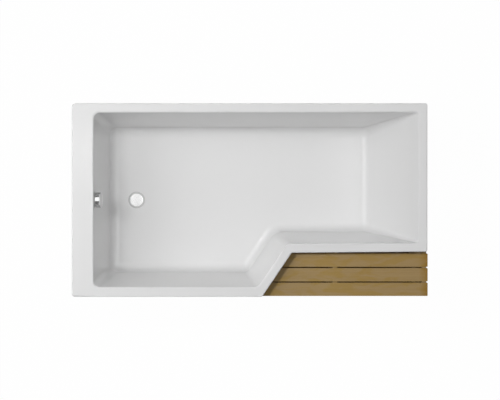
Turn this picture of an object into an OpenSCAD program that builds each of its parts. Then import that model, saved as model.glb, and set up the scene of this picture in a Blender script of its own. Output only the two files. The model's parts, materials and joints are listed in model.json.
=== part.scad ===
// Acrylic shower bath with a cut-away narrow end and a slatted wooden deck beside it.
// Millimetres, +Z up, length along X, the cut-away side faces -Y.
// The origin lies on the room floor, under the centre of the whole footprint.

/* [Tub] */
// Length of the tub
tub_l = 1700; // [1600:10:1800]
// Width of the tub at its wide end
tub_w = 925; // [880:5:960]
// Depth from the rim to the tub floor at the waste
tub_depth = 420; // [400:5:450]
// Height of the tub floor above the room floor, which makes room for the trap
floor_h = 160; // [156:1:200]
// Thickness of the acrylic shell with its reinforcement
shell_t = 6; // [5:0.5:7]
// Height of the skirt round the rim
skirt_h = 40; // [36:1:46]
// Length of the straight front edge at full width
wide_l = 910; // [880:5:940]
// Run of the diagonal edge along the length
diag_run = 142; // [120:2:170]
// Set-back of the front edge at the narrow end
recess_d = 210; // [200:1:222]
// Further set-back of the front edge at the head end
recess_taper = 5; // [0:1:8]
// Radius of the rim's outer top edge
edge_r = 5; // [3:0.5:6]
// Radius of the lip between rim and wall
lip_r = 8; // [5:0.5:10]
// Radius of the fillet between wall and floor
floor_r = 50; // [42:1:54]
// Rise of the floor away from the waste, per metre
floor_rise = 8; // [5:1:12]

/* [Rim widths] */
// Rim along the front edge
rim_front = 39; // [37:0.5:45]
// Rim along the diagonal edge
rim_diag = 35; // [34:0.5:40]
// Rim along the recessed edge
rim_recess = 37; // [35.5:0.5:42]
// Rim at the head end, on the right
rim_right = 38; // [36:0.5:45]
// Rim along the back edge
rim_back = 37; // [35.5:0.5:42]
// Rim at the tap end, on the left
rim_left = 96; // [90:1:110]

/* [Wall slopes] */
// Slope of the front wall from upright, in degrees
slope_front = 8; // [6.5:0.5:9.5]
// Slope of the diagonal wall, in degrees
slope_diag = 10.5; // [9:0.5:12]
// Slope of the recessed wall, in degrees
slope_recess = 7; // [6:0.5:8.5]
// Slope of the backrest, in degrees
slope_right = 27; // [25:0.5:28]
// Slope of the back wall, in degrees
slope_back = 8; // [6.5:0.5:9.5]
// Slope of the wall at the tap end, in degrees
slope_left = 6; // [5:0.5:7.5]

/* [Support frame] */
// Thickness of the board under the tub floor
board_t = 15; // [12:1:18]
// Distance of the board's edge inside the flat of the underside
board_in = 8; // [5:1:15]
// Width of the board's cut-out for the waste and its hose
board_cut_d = 104; // [96:1:120]
// Width of a steel rail
rail_w = 40; // [36:1:46]
// Height of a steel rail
rail_h = 25; // [20:1:30]
// Sheet thickness of a steel rail
rail_t = 2; // [1.5:0.5:3]
// Distance of the left rail from the tap end
rail_left_at = 416; // [400:2:440]
// Distance of the middle rail before the end of the wide front edge
rail_mid_before = 144; // [120:2:170]
// Distance of the right rail inside the board's end
rail_right_in = 75; // [65:1:110]
// Distance of the feet inside the front and back edges
foot_in = 70; // [62:1:80]
// Distance of the foot at the narrow end inside the recessed edge
foot_in_recess = 40; // [38:1:50]
// Length of rail beyond a foot
rail_over = 15; // [12:1:20]
// Diameter of a foot's pad
foot_pad_d = 38; // [34:1:40]
// Height of a foot's pad
foot_pad_h = 18; // [15:1:20]
// Diameter of a foot's threaded rod
foot_rod_d = 10; // [8:1:12]
// Width across the flats of the nuts on the feet
nut_af = 17; // [16:1:19]
// Height of those nuts
nut_h = 8; // [6:1:8]
// Clearance round a rod in its nuts and rail
rod_clear = 0.1; // [0.05:0.05:0.2]
// Length of rod above its upper nut, by which a foot can be lowered
foot_travel = 25; // [15:1:30]
// Width of the timber battens under the rim
batten_w = 22; // [18:1:22]
// Height of the timber battens under the rim
batten_h = 20; // [16:1:24]
// Distance of the battens inside the outline
batten_in = 14; // [13:0.5:14]
// Distance of the batten inside the diagonal edge
batten_in_diag = 8; // [7:0.5:8]
// Distance of the batten inside the recessed edge
batten_in_recess = 14; // [13:0.5:14]
// Gap left in the batten at the tap end for the overflow
batten_gap = 120; // [110:1:140]
// Diameter of the wood screws
screw_d = 4; // [3:0.5:5]
// Length of the wood screws under their heads
screw_l = 14; // [10:1:14]
// Distance of the board screws inside the board's edge
screw_in = 36; // [30:1:45]

/* [Wall brackets] */
// Distance between the two wall brackets
bracket_gap = 900; // [800:10:1000]
// Width of a wall bracket
bracket_w = 40; // [36:1:50]
// Sheet thickness of a wall bracket
bracket_t = 3; // [2:0.5:4]
// Height of the leg below the skirt
bracket_leg = 46; // [40:1:60]
// Diameter of the hole for the wall screw
bracket_hole_d = 6.5; // [5:0.5:8]

/* [Front panel] */
// Thickness of the front panel
panel_t = 4; // [3:0.5:4]
// Height of the panel's lower edge above the room floor
panel_clear = 8; // [5:1:15]
// Distance of the panel's ends inside the tub's ends
panel_end = 12; // [8:1:16]
// Height of a panel bracket
panel_bracket_h = 18; // [14:1:18]

/* [Waste] */
// Distance of the waste from the tap end
waste_at = 275; // [262:1:290]
// Diameter of the hole through the shell at the waste
waste_hole_d = 52; // [50:1:53]
// Diameter of the waste flange
flange_d = 84; // [80:1:86]
// Thickness of the waste flange
flange_t = 2.5; // [2:0.5:3]
// Depth of the seat that the waste flange lies in
seat_drop = 2; // [1:0.5:2.5]
// Outer diameter of the threaded throat under the flange
throat_d = 48; // [46:0.5:48]
// Wall of the throat
throat_wall = 3; // [2:0.5:3.5]
// Length of the throat below the tub floor
throat_l = 24; // [22:1:25]
// Thickness of the seal under the flange
flange_seal_t = 1; // [1:0.5:2]
// Thickness of the gasket under the shell
gasket_t = 3; // [2:0.5:4]
// Diameter of the waste body's flange
body_flange_d = 86; // [84:1:90]
// Outer diameter of the waste body's cup
cup_d = 62; // [60:1:64]
// Wall of the waste body
cup_wall = 4; // [3:0.5:4]
// Depth of the waste body below the gasket
cup_depth = 48; // [46:1:50]
// Diameter of the plug
plug_d = 70; // [66:1:74]
// Height of the plug at its crown
plug_h = 6; // [5.5:0.5:8]
// Rise of the plug's crown over its rounded edge
plug_crown = 1.5; // [1:0.5:2.5]
// Radius of the plug's rounded edge
plug_edge_r = 4; // [2:0.5:4]
// Diameter of the plug's stem
stem_d = 8; // [7:0.5:9]
// Lift of the plug from closed to open
plug_lift = 12; // [10:0.5:13]
// Clearance of the sliding and turning fits
fit_clear = 0.1; // [0.05:0.05:0.15]

/* [Trap] */
// Outer diameter of the trap's pipe
pipe_d = 40; // [38:1:40]
// Wall of the trap's pipe
pipe_wall = 2; // [1.5:0.5:3]
// Radius of the U-bend's centre line
u_r = 30; // [30:1:32]
// Radius of the outlet elbow's centre line
elbow_r = 26; // [24:1:28]
// Diameter of the coupling nuts on the trap
trap_nut_d = 56; // [54:1:58]
// Height of those nuts
trap_nut_h = 18; // [16:1:19]
// Length of the outlet socket
socket_l = 40; // [36:1:50]
// Clearance of the outlet socket round the drain pipe
socket_clear = 0.1; // [0.1:0.05:0.3]

/* [Overflow] */
// Distance of the overflow's centre below the rim
overflow_drop = 48; // [47:1:52]
// Diameter of the hole through the shell at the overflow
overflow_hole_d = 54; // [53:1:56]
// Outer diameter of the overflow housing's cup
house_d = 60; // [60:1:62]
// Depth of the overflow housing
house_depth = 34; // [34:1:38]
// Wall of the overflow housing
house_wall = 4; // [3:0.5:4]
// Diameter of the overflow faceplate
face_d = 64; // [62:1:66]
// Thickness of the overflow faceplate
face_t = 3; // [2:0.5:3]
// Diameter of the turning knob
knob_d = 75; // [72:1:78]
// Height of the knob's rim
knob_h = 22; // [19:1:24]
// Gap between the wall and the knob, where the water enters
knob_gap = 2.5; // [2:0.5:4]
// Rise of the knob's domed end
knob_dome = 8; // [6:0.5:9]
// Diameter of the knob's spindle
spindle_d = 8; // [7:0.5:9]

/* [Hose and cable] */
// Outer diameter of the ribbed hose
hose_d = 36; // [34:1:36]
// Bore of the ribbed hose
hose_bore = 26; // [24:1:27]
// Depth of the grooves between the ribs
rib_depth = 2.5; // [2:0.5:3]
// Distance from rib to rib
rib_pitch = 6; // [5.5:0.5:8]
// Radius of the hose's bend
hose_bend_r = 70; // [60:1:80]
// Diameter of the hose's coupling nuts
hose_nut_d = 46; // [44:1:46]
// Height of those nuts
hose_nut_h = 24; // [20:1:26]
// Diameter of the cable from the knob to the waste
cable_d = 5; // [4:0.5:6]

/* [Deck] */
// Height of the deck's top below the rim
deck_drop = 55; // [50:1:65]
// Number of slats
slat_n = 3; // [2:1:4]
// Thickness of a slat
slat_t = 20; // [18:1:24]
// Gap between two slats
slat_gap = 6.2; // [5:0.2:8]
// Gap between the rim and the first slat
rim_gap = 5.5; // [4.5:0.5:8]
// Overhang of the deck beyond the head end of the tub
deck_over = 8; // [4:1:12]
// Length of the slats tucked under the diagonal rim
deck_tuck = 28; // [24:1:29]
// Chamfer on the free corners of the slats
slat_chamfer = 2.5; // [1:0.5:4]
// Width of the cross battens under the slats
cross_w = 20.8; // [18:0.4:28]
// Height of the cross battens under the slats
cross_h = 28; // [24:1:36]
// Depth of the spacers on the cross battens below the slats' top
spacer_drop = 3; // [2:0.5:6]
// Distance of the end batten inside the slats' ends
cross_end_in = 6.6; // [4:0.2:12]
// Distance of the middle batten from the slats' ends
cross_mid_at = 446; // [420:1:480]
// Distance of the batten inside the diagonal edge
cross_diag_in = 4; // [2:1:6]
// Gap between the cross battens' ends and the front panel
cross_seat = 0.3; // [0.3:0.1:1]
// Width of a deck post along the length
post_w = 28; // [24:1:32]
// Depth of a deck post
post_d = 34; // [28:1:38]
// Distance of the posts inside the slats' edges
post_in = 4; // [2:1:8]
// Distance of the left posts' corners inside the diagonal edge
post_diag_in = 22; // [18:1:24]
// Thickness of the low rails between the posts
brace_t = 16; // [12:1:20]
// Height of the low rails between the posts
brace_h = 28; // [24:1:36]
// Height of the low rails above the room floor
brace_z = 90; // [60:5:200]
// Diameter of the glides under the posts
glide_d = 24; // [20:1:26]
// Thickness of the glides
glide_t = 4; // [3:0.5:6]

/* [Hidden] */
$fn = 64;

// Segments of each corner of the tub's outline
corner_n = 6;
// Length by which a cut starts beyond the face that it opens
cut = 1;
// Length by which joined forms of one piece run into each other
join = 1;

// The tub's ends, its centre line and its levels
tub_x0 = -(tub_l + deck_over) / 2;
tub_x1 = tub_x0 + tub_l;
rim_z = floor_h + tub_depth;
under_z = floor_h - shell_t;
rim_under_z = rim_z - shell_t;

// Corners of the outline, anticlockwise from the front corner at the tap end
OUTLINE = [
    [tub_x0, -tub_w / 2],
    [tub_x0 + wide_l, -tub_w / 2],
    [tub_x0 + wide_l + diag_run, -tub_w / 2 + recess_d],
    [tub_x1, -tub_w / 2 + recess_d + recess_taper],
    [tub_x1, tub_w / 2],
    [tub_x0, tub_w / 2]
];
FRONT = 0;
DIAG = 1;
RECESS = 2;
RIGHT = 3;
BACK = 4;
LEFT = 5;
// The corner where the diagonal meets the recessed edge points into the tub
REFLEX = 2;

// Per edge: rim width and wall slope
RIM = [rim_front, rim_diag, rim_recess, rim_right, rim_back, rim_left];
SLOPE = [slope_front, slope_diag, slope_recess, slope_right, slope_back, slope_left];
// Per corner: radius of the outline, of the lip, of the wall's foot and of the floor
OUT_R = [16, 8, 8, 10, 10, 16];
LIP_R = [30, 40, 35, 12, 12, 30];
LOW_R = [38, 44, 60, 42, 42, 38];
FLOOR_R = [12, 12, 90, 14, 14, 12];

function unit(v) = v / norm(v);
function edge_normal(i) =
    let (d = OUTLINE[(i + 1) % 6] - OUTLINE[i])
    unit([d.y, -d.x]);

// Where edges i-1 and i meet once each edge has moved inward by its own offset
function corner_point(i, off) =
    let (
        j = (i + 5) % 6,
        a = edge_normal(j),
        b = edge_normal(i),
        reach_a = a * OUTLINE[i] - off[j],
        reach_b = b * OUTLINE[i] - off[i],
        det = a.x * b.y - a.y * b.x
    )
    [(reach_a * b.y - reach_b * a.y) / det, (a.x * reach_b - b.x * reach_a) / det];

// Arc of radius r that rounds the corner b between a and c
function corner_arc(a, b, c, r, n) =
    let (
        da = unit(a - b),
        dc = unit(c - b),
        half = acos(da * dc) / 2,
        centre = b + unit(da + dc) * r / sin(half),
        start = b + da * r / tan(half) - centre,
        turn = (da.y * dc.x - da.x * dc.y > 0 ? 1 : -1) * (180 - 2 * half),
        from = atan2(start.y, start.x)
    )
    [for (k = [0:n]) centre + r * [cos(from + turn * k / n), sin(from + turn * k / n)]];

// Closed ring of points at the given offsets and radii, with z worked out per point
function ring(off, radii) =
    let (corners = [for (i = [0:5]) corner_point(i, off)])
    [
        for (i = [0:5])
            each corner_arc(corners[(i + 5) % 6], corners[i], corners[(i + 1) % 6], radii[i], corner_n)
    ];

// Radii of the outline's corners once it has moved inward by off
function out_radii(off) =
    [for (i = [0:5]) i == REFLEX ? OUT_R[i] + off : max(1, OUT_R[i] - off)];

// Depths at which the lip ends and the floor fillet starts on edge i
function lip_end(i) = lip_r * (1 - sin(SLOPE[i]));
function fillet_start(i) = tub_depth - floor_r * (1 - sin(SLOPE[i]));
// Offset of the plain wall's inner face on edge i at depth d
function wall_off(i, d) = RIM[i] + lip_r * cos(SLOPE[i]) + (d - lip_end(i)) * tan(SLOPE[i]);
// Offset of the floor fillet's centre on edge i
function fillet_off(i) = wall_off(i, fillet_start(i)) + floor_r * cos(SLOPE[i]);

// Offset of the inner face on edge i at depth d
function inner_off(i, d) =
    d <= lip_end(i) ? RIM[i] + sqrt(lip_r ^ 2 - (lip_r - d) ^ 2)
    : d <= fillet_start(i) ? wall_off(i, d)
    : fillet_off(i) - sqrt(max(0, floor_r ^ 2 - (floor_r - tub_depth + d) ^ 2));

// Offset of the outer face on edge i at depth d
function outer_off(i, d) =
    let (r = floor_r + shell_t, rise = d - tub_depth + floor_r)
    rise <= r * sin(SLOPE[i]) ? wall_off(i, d) - shell_t / cos(SLOPE[i])
    : fillet_off(i) - sqrt(max(0, r ^ 2 - rise ^ 2));

// Share of the wall, and of the floor fillet, that lies above depth d
function wall_share(d) = min(1, max(0, (d - lip_r) / (tub_depth - floor_r - lip_r)));
function fillet_share(d) = 1 - sqrt(1 - (min(1, max(0, 1 - (tub_depth - d) / floor_r))) ^ 2);

// Radii of the basin's corners at depth d
function basin_radii(d) =
    [
        for (i = [0:5])
            LIP_R[i] + (LOW_R[i] - LIP_R[i]) * wall_share(d) + (FLOOR_R[i] - LOW_R[i]) * fillet_share(d)
    ];

waste_x = tub_x0 + waste_at;

// The inner face rises a little with the distance from the waste
function inner_point(p, d) =
    let (rise = floor_rise / 1000 * norm([p.x - waste_x, p.y]))
    [p.x, p.y, rim_z - d + d / tub_depth * rise];
function inner_ring(d) =
    [for (p = ring([for (i = [0:5]) inner_off(i, d)], basin_radii(d))) inner_point(p, d)];
function outer_ring(d) =
    let (grow = [for (i = [0:5]) i == REFLEX ? -shell_t : shell_t])
    [
        for (p = ring([for (i = [0:5]) outer_off(i, d)], basin_radii(min(d, tub_depth)) + grow))
            [p.x, p.y, rim_z - d]
    ];
function rim_ring(off, d) =
    [for (p = ring([for (i = [0:5]) off], out_radii(off))) [p.x, p.y, rim_z - d]];

// Angles of the rings on the floor fillet, the lip and the outer top edge
fillet_step = 17;
fillet_turn = 85;
FILLET_STEPS = [0:fillet_step:fillet_turn];
LIP_STEPS = [75, 50, 25, 0];
EDGE_STEPS = [0:30:90];

// Rings from the underside's centre, over the skirt and rim, down to the floor
SHELL_RINGS = [
    for (u = FILLET_STEPS) outer_ring(tub_depth + shell_t - (floor_r + shell_t) * (1 - cos(u))),
    outer_ring(shell_t),
    rim_ring(shell_t, shell_t),
    rim_ring(shell_t, skirt_h),
    rim_ring(0, skirt_h),
    for (u = EDGE_STEPS) rim_ring(edge_r * (1 - cos(u)), edge_r * (1 - sin(u))),
    for (i = [len(LIP_STEPS) - 1:-1:0]) inner_ring(lip_r * (1 - cos(LIP_STEPS[i]))),
    for (u = [fillet_turn:-fillet_step:0]) inner_ring(tub_depth - floor_r * (1 - cos(u)))
];

// Closed skin through the rings, with a fan at each end
module loft(rings, first, last) {
    n = len(rings[0]);
    m = len(rings);
    points = [first, for (r = rings) each r, last];
    end = n * m + 1;
    faces = [
        for (j = [0:n - 1]) [0, 1 + j, 1 + (j + 1) % n],
        for (k = [0:m - 2], j = [0:n - 1])
            let (a = 1 + k * n + j, b = 1 + k * n + (j + 1) % n)
                each [[a, a + n, b], [b, a + n, b + n]],
        for (j = [0:n - 1]) [end, 1 + (m - 1) * n + (j + 1) % n, 1 + (m - 1) * n + j]
    ];
    polyhedron(points, faces);
}

// Ring-shaped prism standing on z = 0
module tube(od, id, h) {
    difference() {
        cylinder(d = od, h = h);
        translate([0, 0, -cut])
            cylinder(d = id, h = h + 2 * cut);
    }
}

// Upright prism from z0 to z1 over the given points
module prism(points, z0, z1) {
    translate([0, 0, z0])
        linear_extrude(z1 - z0)
            polygon(points);
}

// Six-sided nut with a round bore, standing on z = 0
module hex_nut(af, bore, h) {
    difference() {
        cylinder(d = af / cos(30), h = h, $fn = 6);
        translate([0, 0, -cut])
            cylinder(d = bore, h = h + 2 * cut);
    }
}

// Waste: levels from the tub floor down
seat_z = floor_h - seat_drop;
flange_z = seat_z + flange_seal_t;
flange_top = flange_z + flange_t;
body_top = under_z - gasket_t;
body_z = body_top - cup_depth;
body_flange_t = 4;
collar_l = 18;
seat_clear = 2;
throat_z = floor_h - throat_l;
spoke_drop = 14;
spoke_z = floor_h - spoke_drop;
spoke_h = 6;
spoke_w = 3;
spoke_hub_wall = 3;
spoke_hub_d = stem_d + 2 * spoke_hub_wall;
stem_below = 45;
stem_end_z = floor_h - stem_below;
plug_seal_t = 2;
plug_seal_in = 3;
plug_seal_w = 4;
PLUG_EDGE_STEPS = [0:15:90];
PLUG_CROWN_STEPS = [0.75:-0.25:0];
plug_z = flange_top + plug_seal_t;
port_rise = 24;
port_z = body_z + port_rise;
port_d = 31;
port_gap = 1.5;
port_end = body_flange_d / 2 + port_gap + hose_nut_h / 2 - cup_d / 2;

// Lever under the plug's stem, long enough to lift the plug by plug_lift
lever_swing = 30;
lever_l = plug_lift / sin(lever_swing);
lever_r = 2.5;
lever_hub_d = 8;
lever_pin_d = 3;
lever_w = 9;
lever_gap = 1;
lever_x = waste_x + lever_l - lever_r;
lever_z = stem_end_z - lever_gap - lever_r;
lug_t = 3;
lug_gap = 1;
lug_y = lever_w / 2 + lug_gap;
lug_x = 5;
lug_over = 4;

// Trap: levels from the waste body down, then up to the outlet
spigot_l = 22;
trap_top = body_z - spigot_l;
trap_leg = 16;
u_z = trap_top - trap_leg;
u_out_z = u_z + trap_nut_h / 2;
elbow_z = u_z + trap_nut_h;
trap_nut_up = 4;
outlet_y = 2 * u_r + elbow_r;
outlet_z = elbow_z + elbow_r;
socket_wall = 5;
socket_at = 8;
socket_floor = 3;

// Overflow: a frame on the inner face of the wall at the tap end, +z into the tub
overflow_x = tub_x0 + wall_off(LEFT, overflow_drop);
overflow_z = rim_z - overflow_drop;
overflow_seal_t = 3;
house_flange_t = 4;
house_flange_w = 6;
house_flange_d = house_d + 2 * house_flange_w;
house_front = -(shell_t + overflow_seal_t);
house_back = house_front - house_depth;
sleeve_d = 50;
sleeve_wall = 2;
sleeve_l = 20;
inlet_n = 6;
inlet_d = 10;
inlet_at = 14.5;
cam_d = 30;
cam_t = 6;
cam_z = -30;
spindle_gap = 0.3;
spindle_in = 12;
knob_wall = 4;
hub_d = 18;
dome_sides = 128;
hub_gap = 0.5;

// Hose: straight down behind the wall, one bend, then level to the waste
hose_x = overflow_x + (house_front + house_back) / 2 * cos(SLOPE[LEFT]);
hose_drop = 54;
hose_top = overflow_z - hose_drop;
hose_nut_up = 4;
hose_nut_less = 6;
hose_nut_top_h = hose_nut_h - hose_nut_less;
hose_sides = 8;
hose_end_x = waste_x - cup_d / 2 - port_end;
cable_gap = 1.5;
cable_y = hose_nut_d / 2 + cable_d / 2 + cable_gap;
cable_rise = 13;
cable_drop = 36;
cable_top = overflow_z - cable_drop;
gland_wall = 2;
gland_d = cable_d + 2 * gland_wall;
gland_l = 24;
gland_bore_l = 10;
gland_over = 4;
gland_z = cable_top - gland_over;
gland_end_x = waste_x - cup_d / 2 - gland_bore_l;
cable_stop = 2;
cable_in = gland_bore_l - cable_stop;

// Deck: the slats share the recess between them
deck_z = rim_z - deck_drop;
slat_w = (recess_d - rim_gap - (slat_n - 1) * slat_gap) / slat_n;
deck_x1 = tub_x1 + deck_over;
deck_y0 = -tub_w / 2;
deck_y1 = -tub_w / 2 + recess_d - rim_gap;
cross_top = deck_z - slat_t;
post_top = cross_top - cross_h;
post_back_y = deck_y1 - post_in;
post_front_y = deck_y0 + post_in;
cross_y0 = deck_y0 + post_in;
spacer_clear = 0.3;
stretcher_t = 12;

// X of the diagonal edge at the given y, moved inward
function diag_x(y, inset) =
    tub_x0 + wide_l + (y + tub_w / 2) * diag_run / recess_d - inset / edge_normal(DIAG).x;

// Y of the recessed edge at the given x, moved inward
function recess_y(x, inset) =
    let (a = OUTLINE[RECESS], b = OUTLINE[RIGHT])
    a.y + (x - a.x) * recess_taper / (b.x - a.x) - inset / edge_normal(RECESS).y;

// Frame: rails, feet, battens and panel
rail_top = under_z - board_t;
RAIL_FRONT = [
    -tub_w / 2 + foot_in,
    -tub_w / 2 + foot_in,
    -tub_w / 2 + recess_d + foot_in_recess
];
rail_back = tub_w / 2 - foot_in;
rail_hole = foot_rod_d + 2 * rod_clear;
foot_pad_edge = 1;
foot_pad_rim_h = 5;
foot_pad_cone_h = 9;
foot_rod_z = 8;
foot_rod_top = rail_top + nut_h + foot_travel;
// Per edge: the batten's inset, and the insets on the neighbouring edges at which it starts and ends
BATTEN_IN = [batten_in, batten_in_diag, batten_in_recess, batten_in, batten_in, batten_in];
BATTEN_START = [
    batten_in,
    batten_in,
    batten_in_diag,
    batten_in_recess + batten_w,
    batten_in,
    batten_in + batten_w
];
BATTEN_END = [
    batten_in_diag + batten_w + panel_t,
    batten_in_recess - panel_t,
    batten_in,
    batten_in + batten_w,
    batten_in,
    batten_in + batten_w
];
BOARD_OFF = [for (i = [0:5]) fillet_off(i) + board_in];
RAIL_X = [
    tub_x0 + rail_left_at,
    tub_x0 + wide_l - rail_mid_before,
    corner_point(RIGHT, BOARD_OFF).x - rail_right_in
];
board_front = corner_point(FRONT, BOARD_OFF).y;
board_recess = corner_point(RIGHT, BOARD_OFF).y;
board_back = corner_point(BACK, BOARD_OFF).y;
SCREW_FRONT = [board_front, board_front, board_recess] + [screw_in, screw_in, screw_in];
screw_back = board_back - screw_in;
screw_clear = 0.2;
screw_head_ratio = 2.2;
screw_head_d = screw_head_ratio * screw_d;
screw_head_h = 2.5;
bracket_head_h = 2;
// Per edge: inset of the front panel's outer face, then of its two ends
PANEL_OFF = [
    batten_in - panel_t,
    batten_in_diag + batten_w,
    batten_in_recess - panel_t,
    panel_end,
    0,
    panel_end
];
panel_bracket_l = 30;
panel_bracket_t = 3;
bracket_y = tub_w / 2 - batten_in;
bracket_lap = 1;
bracket_jog_drop = 4;
bracket_jog_z = rim_z - skirt_h - bracket_jog_drop;
bracket_screw_z = rim_under_z - batten_h / 2;
BRACKET_X = [-bracket_gap / 2, bracket_gap / 2];

// The frame of the overflow, with +z along the knob's spindle
module at_overflow() {
    translate([overflow_x, 0, overflow_z])
        rotate([0, 90 - SLOPE[LEFT], 0])
            children();
}

// Tub

module acrylic_shell() {
    color("white")
        difference() {
            loft(SHELL_RINGS, [waste_x, 0, under_z], [waste_x, 0, floor_h]);
            translate([waste_x, 0, seat_z])
                cylinder(d = flange_d + seat_clear, h = shell_t);
            translate([waste_x, 0, under_z - cut])
                cylinder(d = waste_hole_d, h = shell_t + 2 * cut);
            at_overflow()
                translate([0, 0, -2 * shell_t])
                    cylinder(d = overflow_hole_d, h = 4 * shell_t);
        }
}

module base_board() {
    color("burlywood")
        difference() {
            prism([for (i = [0:5]) corner_point(i, BOARD_OFF)], rail_top, under_z);
            translate([waste_x, 0, rail_top - cut])
                cylinder(d = board_cut_d, h = board_t + 2 * cut);
            translate([tub_x0, -board_cut_d / 2, rail_top - cut])
                cube([waste_at, board_cut_d, board_t + 2 * cut]);
            for (i = [0:2], y = [SCREW_FRONT[i], screw_back])
                translate([RAIL_X[i], y, rail_top - cut])
                    cylinder(d = screw_d + screw_clear, h = screw_l);
        }
}

// Point at inset own on edge i, where it meets inset cut on the edge before or after it
function start_point(i, own, cut) = corner_point(i, [for (k = [0:5]) k == i ? own : cut]);
function end_point(i, own, cut) = corner_point((i + 1) % 6, [for (k = [0:5]) k == i ? own : cut]);

// Batten under the rim along edge i, cut along the neighbouring edges
module rim_batten(i) {
    near = BATTEN_IN[i];
    far = near + batten_w;
    color("burlywood")
        prism(
            [
                start_point(i, near, BATTEN_START[i]),
                end_point(i, near, BATTEN_END[i]),
                end_point(i, far, BATTEN_END[i]),
                start_point(i, far, BATTEN_START[i])
            ],
            rim_under_z - batten_h,
            rim_under_z
        );
}

module batten_front() {
    rim_batten(FRONT);
}

module batten_diagonal() {
    rim_batten(DIAG);
}

module batten_recess() {
    rim_batten(RECESS);
}

module batten_right() {
    rim_batten(RIGHT);
}

module batten_back() {
    difference() {
        rim_batten(BACK);
        bracket_screws(screw_clear);
    }
}

module batten_left() {
    difference() {
        rim_batten(LEFT);
        translate([tub_x0, -batten_gap / 2, rim_under_z - batten_h - cut])
            cube([batten_in + batten_w + cut, batten_gap, batten_h + 2 * cut]);
    }
}

// Support frame

// Steel rail number i, a channel that is open below, drilled for its feet and screws
module rail(i) {
    y0 = RAIL_FRONT[i] - rail_over;
    color("silver")
        difference() {
            translate([RAIL_X[i], rail_back + rail_over, rail_top])
                rotate([90, 0, 0])
                    linear_extrude(rail_back + rail_over - y0)
                        polygon([
                            [-rail_w / 2, 0],
                            [-rail_w / 2, -rail_h],
                            [-rail_w / 2 + rail_t, -rail_h],
                            [-rail_w / 2 + rail_t, -rail_t],
                            [rail_w / 2 - rail_t, -rail_t],
                            [rail_w / 2 - rail_t, -rail_h],
                            [rail_w / 2, -rail_h],
                            [rail_w / 2, 0]
                        ]);
            for (y = [RAIL_FRONT[i], rail_back])
                translate([RAIL_X[i], y, rail_top - rail_t - cut])
                    cylinder(d = rail_hole, h = rail_t + 2 * cut);
            for (y = [SCREW_FRONT[i], screw_back])
                translate([RAIL_X[i], y, rail_top - rail_t - cut])
                    cylinder(d = screw_d + screw_clear, h = rail_t + 2 * cut);
        }
}

module rail_left() {
    rail(0);
}

module rail_middle() {
    rail(1);
}

module rail_right() {
    rail(2);
}

// Feet 1 to 3 stand in front, feet 4 to 6 at the back
function foot_at(n) = n <= 3 ? [RAIL_X[n - 1], RAIL_FRONT[n - 1]] : [RAIL_X[n - 4], rail_back];

module rail_nuts() {
    color("silver")
        for (n = [1:6], z = [rail_top, rail_top - rail_t - nut_h])
            translate([foot_at(n).x, foot_at(n).y, z])
                hex_nut(nut_af, rail_hole, nut_h);
}

// Wood screw along +z, with its head's underside at z = 0
module wood_screw(d, l, head_d, head_h) {
    cylinder(d = d, h = l);
    translate([0, 0, -head_h])
        cylinder(d = head_d, h = head_h);
}

module bracket_screws(extra) {
    for (x = BRACKET_X, side = [-1, 1])
        translate([x + side * bracket_w / 4, bracket_y + bracket_t, bracket_screw_z])
            rotate([90, 0, 0])
                wood_screw(screw_d + extra, screw_l + extra, 2 * screw_d + extra, bracket_head_h);
}

module frame_screws() {
    color("gainsboro") {
        for (i = [0:2], y = [SCREW_FRONT[i], screw_back])
            translate([RAIL_X[i], y, rail_top - rail_t])
                wood_screw(screw_d, screw_l, screw_head_d, screw_head_h);
        bracket_screws(0);
    }
}

// Sheet-steel bracket that stands out past the skirt and lies flat on the wall
module wall_bracket() {
    y_in = bracket_y;
    y_out = tub_w / 2;
    leg_z = bracket_jog_z - bracket_leg;
    difference() {
        rotate([90, 0, 90])
            linear_extrude(bracket_w, center = true)
                polygon([
                    [y_in, rim_under_z - bracket_lap],
                    [y_in + bracket_t, rim_under_z - bracket_lap],
                    [y_in + bracket_t, bracket_jog_z],
                    [y_out, bracket_jog_z],
                    [y_out, leg_z],
                    [y_out - bracket_t, leg_z],
                    [y_out - bracket_t, bracket_jog_z - bracket_t],
                    [y_in, bracket_jog_z - bracket_t]
                ]);
        for (side = [-1, 1])
            translate([side * bracket_w / 4, y_in + bracket_t + cut, bracket_screw_z])
                rotate([90, 0, 0])
                    cylinder(d = screw_d + screw_clear, h = bracket_t + 2 * cut);
        translate([0, y_out + cut, bracket_jog_z - bracket_leg / 2])
            rotate([90, 0, 0])
                cylinder(d = bracket_hole_d, h = bracket_t + 2 * cut);
    }
}

module wall_brackets() {
    color("silver")
        for (x = BRACKET_X)
            translate([x, 0, 0])
                wall_bracket();
}

module front_panel() {
    outer = [for (i = [0:3]) corner_point(i, PANEL_OFF)];
    inset = PANEL_OFF + [panel_t, panel_t, panel_t, 0, 0, 0];
    inner = [for (i = [3:-1:0]) corner_point(i, inset)];
    color("white")
        prism(concat(outer, inner), panel_clear, rim_under_z);
}

// Angle that ties the front panel to the side of a rail
module panel_brackets() {
    y_panel = -tub_w / 2 + batten_in;
    y_rail = -tub_w / 2 + foot_in + panel_bracket_l;
    z1 = rail_top - panel_bracket_t;
    color("silver")
        for (i = [0:1])
            translate([RAIL_X[i] + rail_w / 2, 0, 0])
                prism(
                    [
                        [0, y_panel],
                        [panel_bracket_l, y_panel],
                        [panel_bracket_l, y_panel + panel_bracket_t],
                        [panel_bracket_t, y_panel + panel_bracket_t],
                        [panel_bracket_t, y_rail],
                        [0, y_rail]
                    ],
                    z1 - panel_bracket_h,
                    z1
                );
}

// Levelling feet

module foot_rod(n) {
    color("silver")
        translate([foot_at(n).x, foot_at(n).y, foot_rod_z])
            cylinder(d = foot_rod_d, h = foot_rod_top - foot_rod_z);
}

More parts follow.
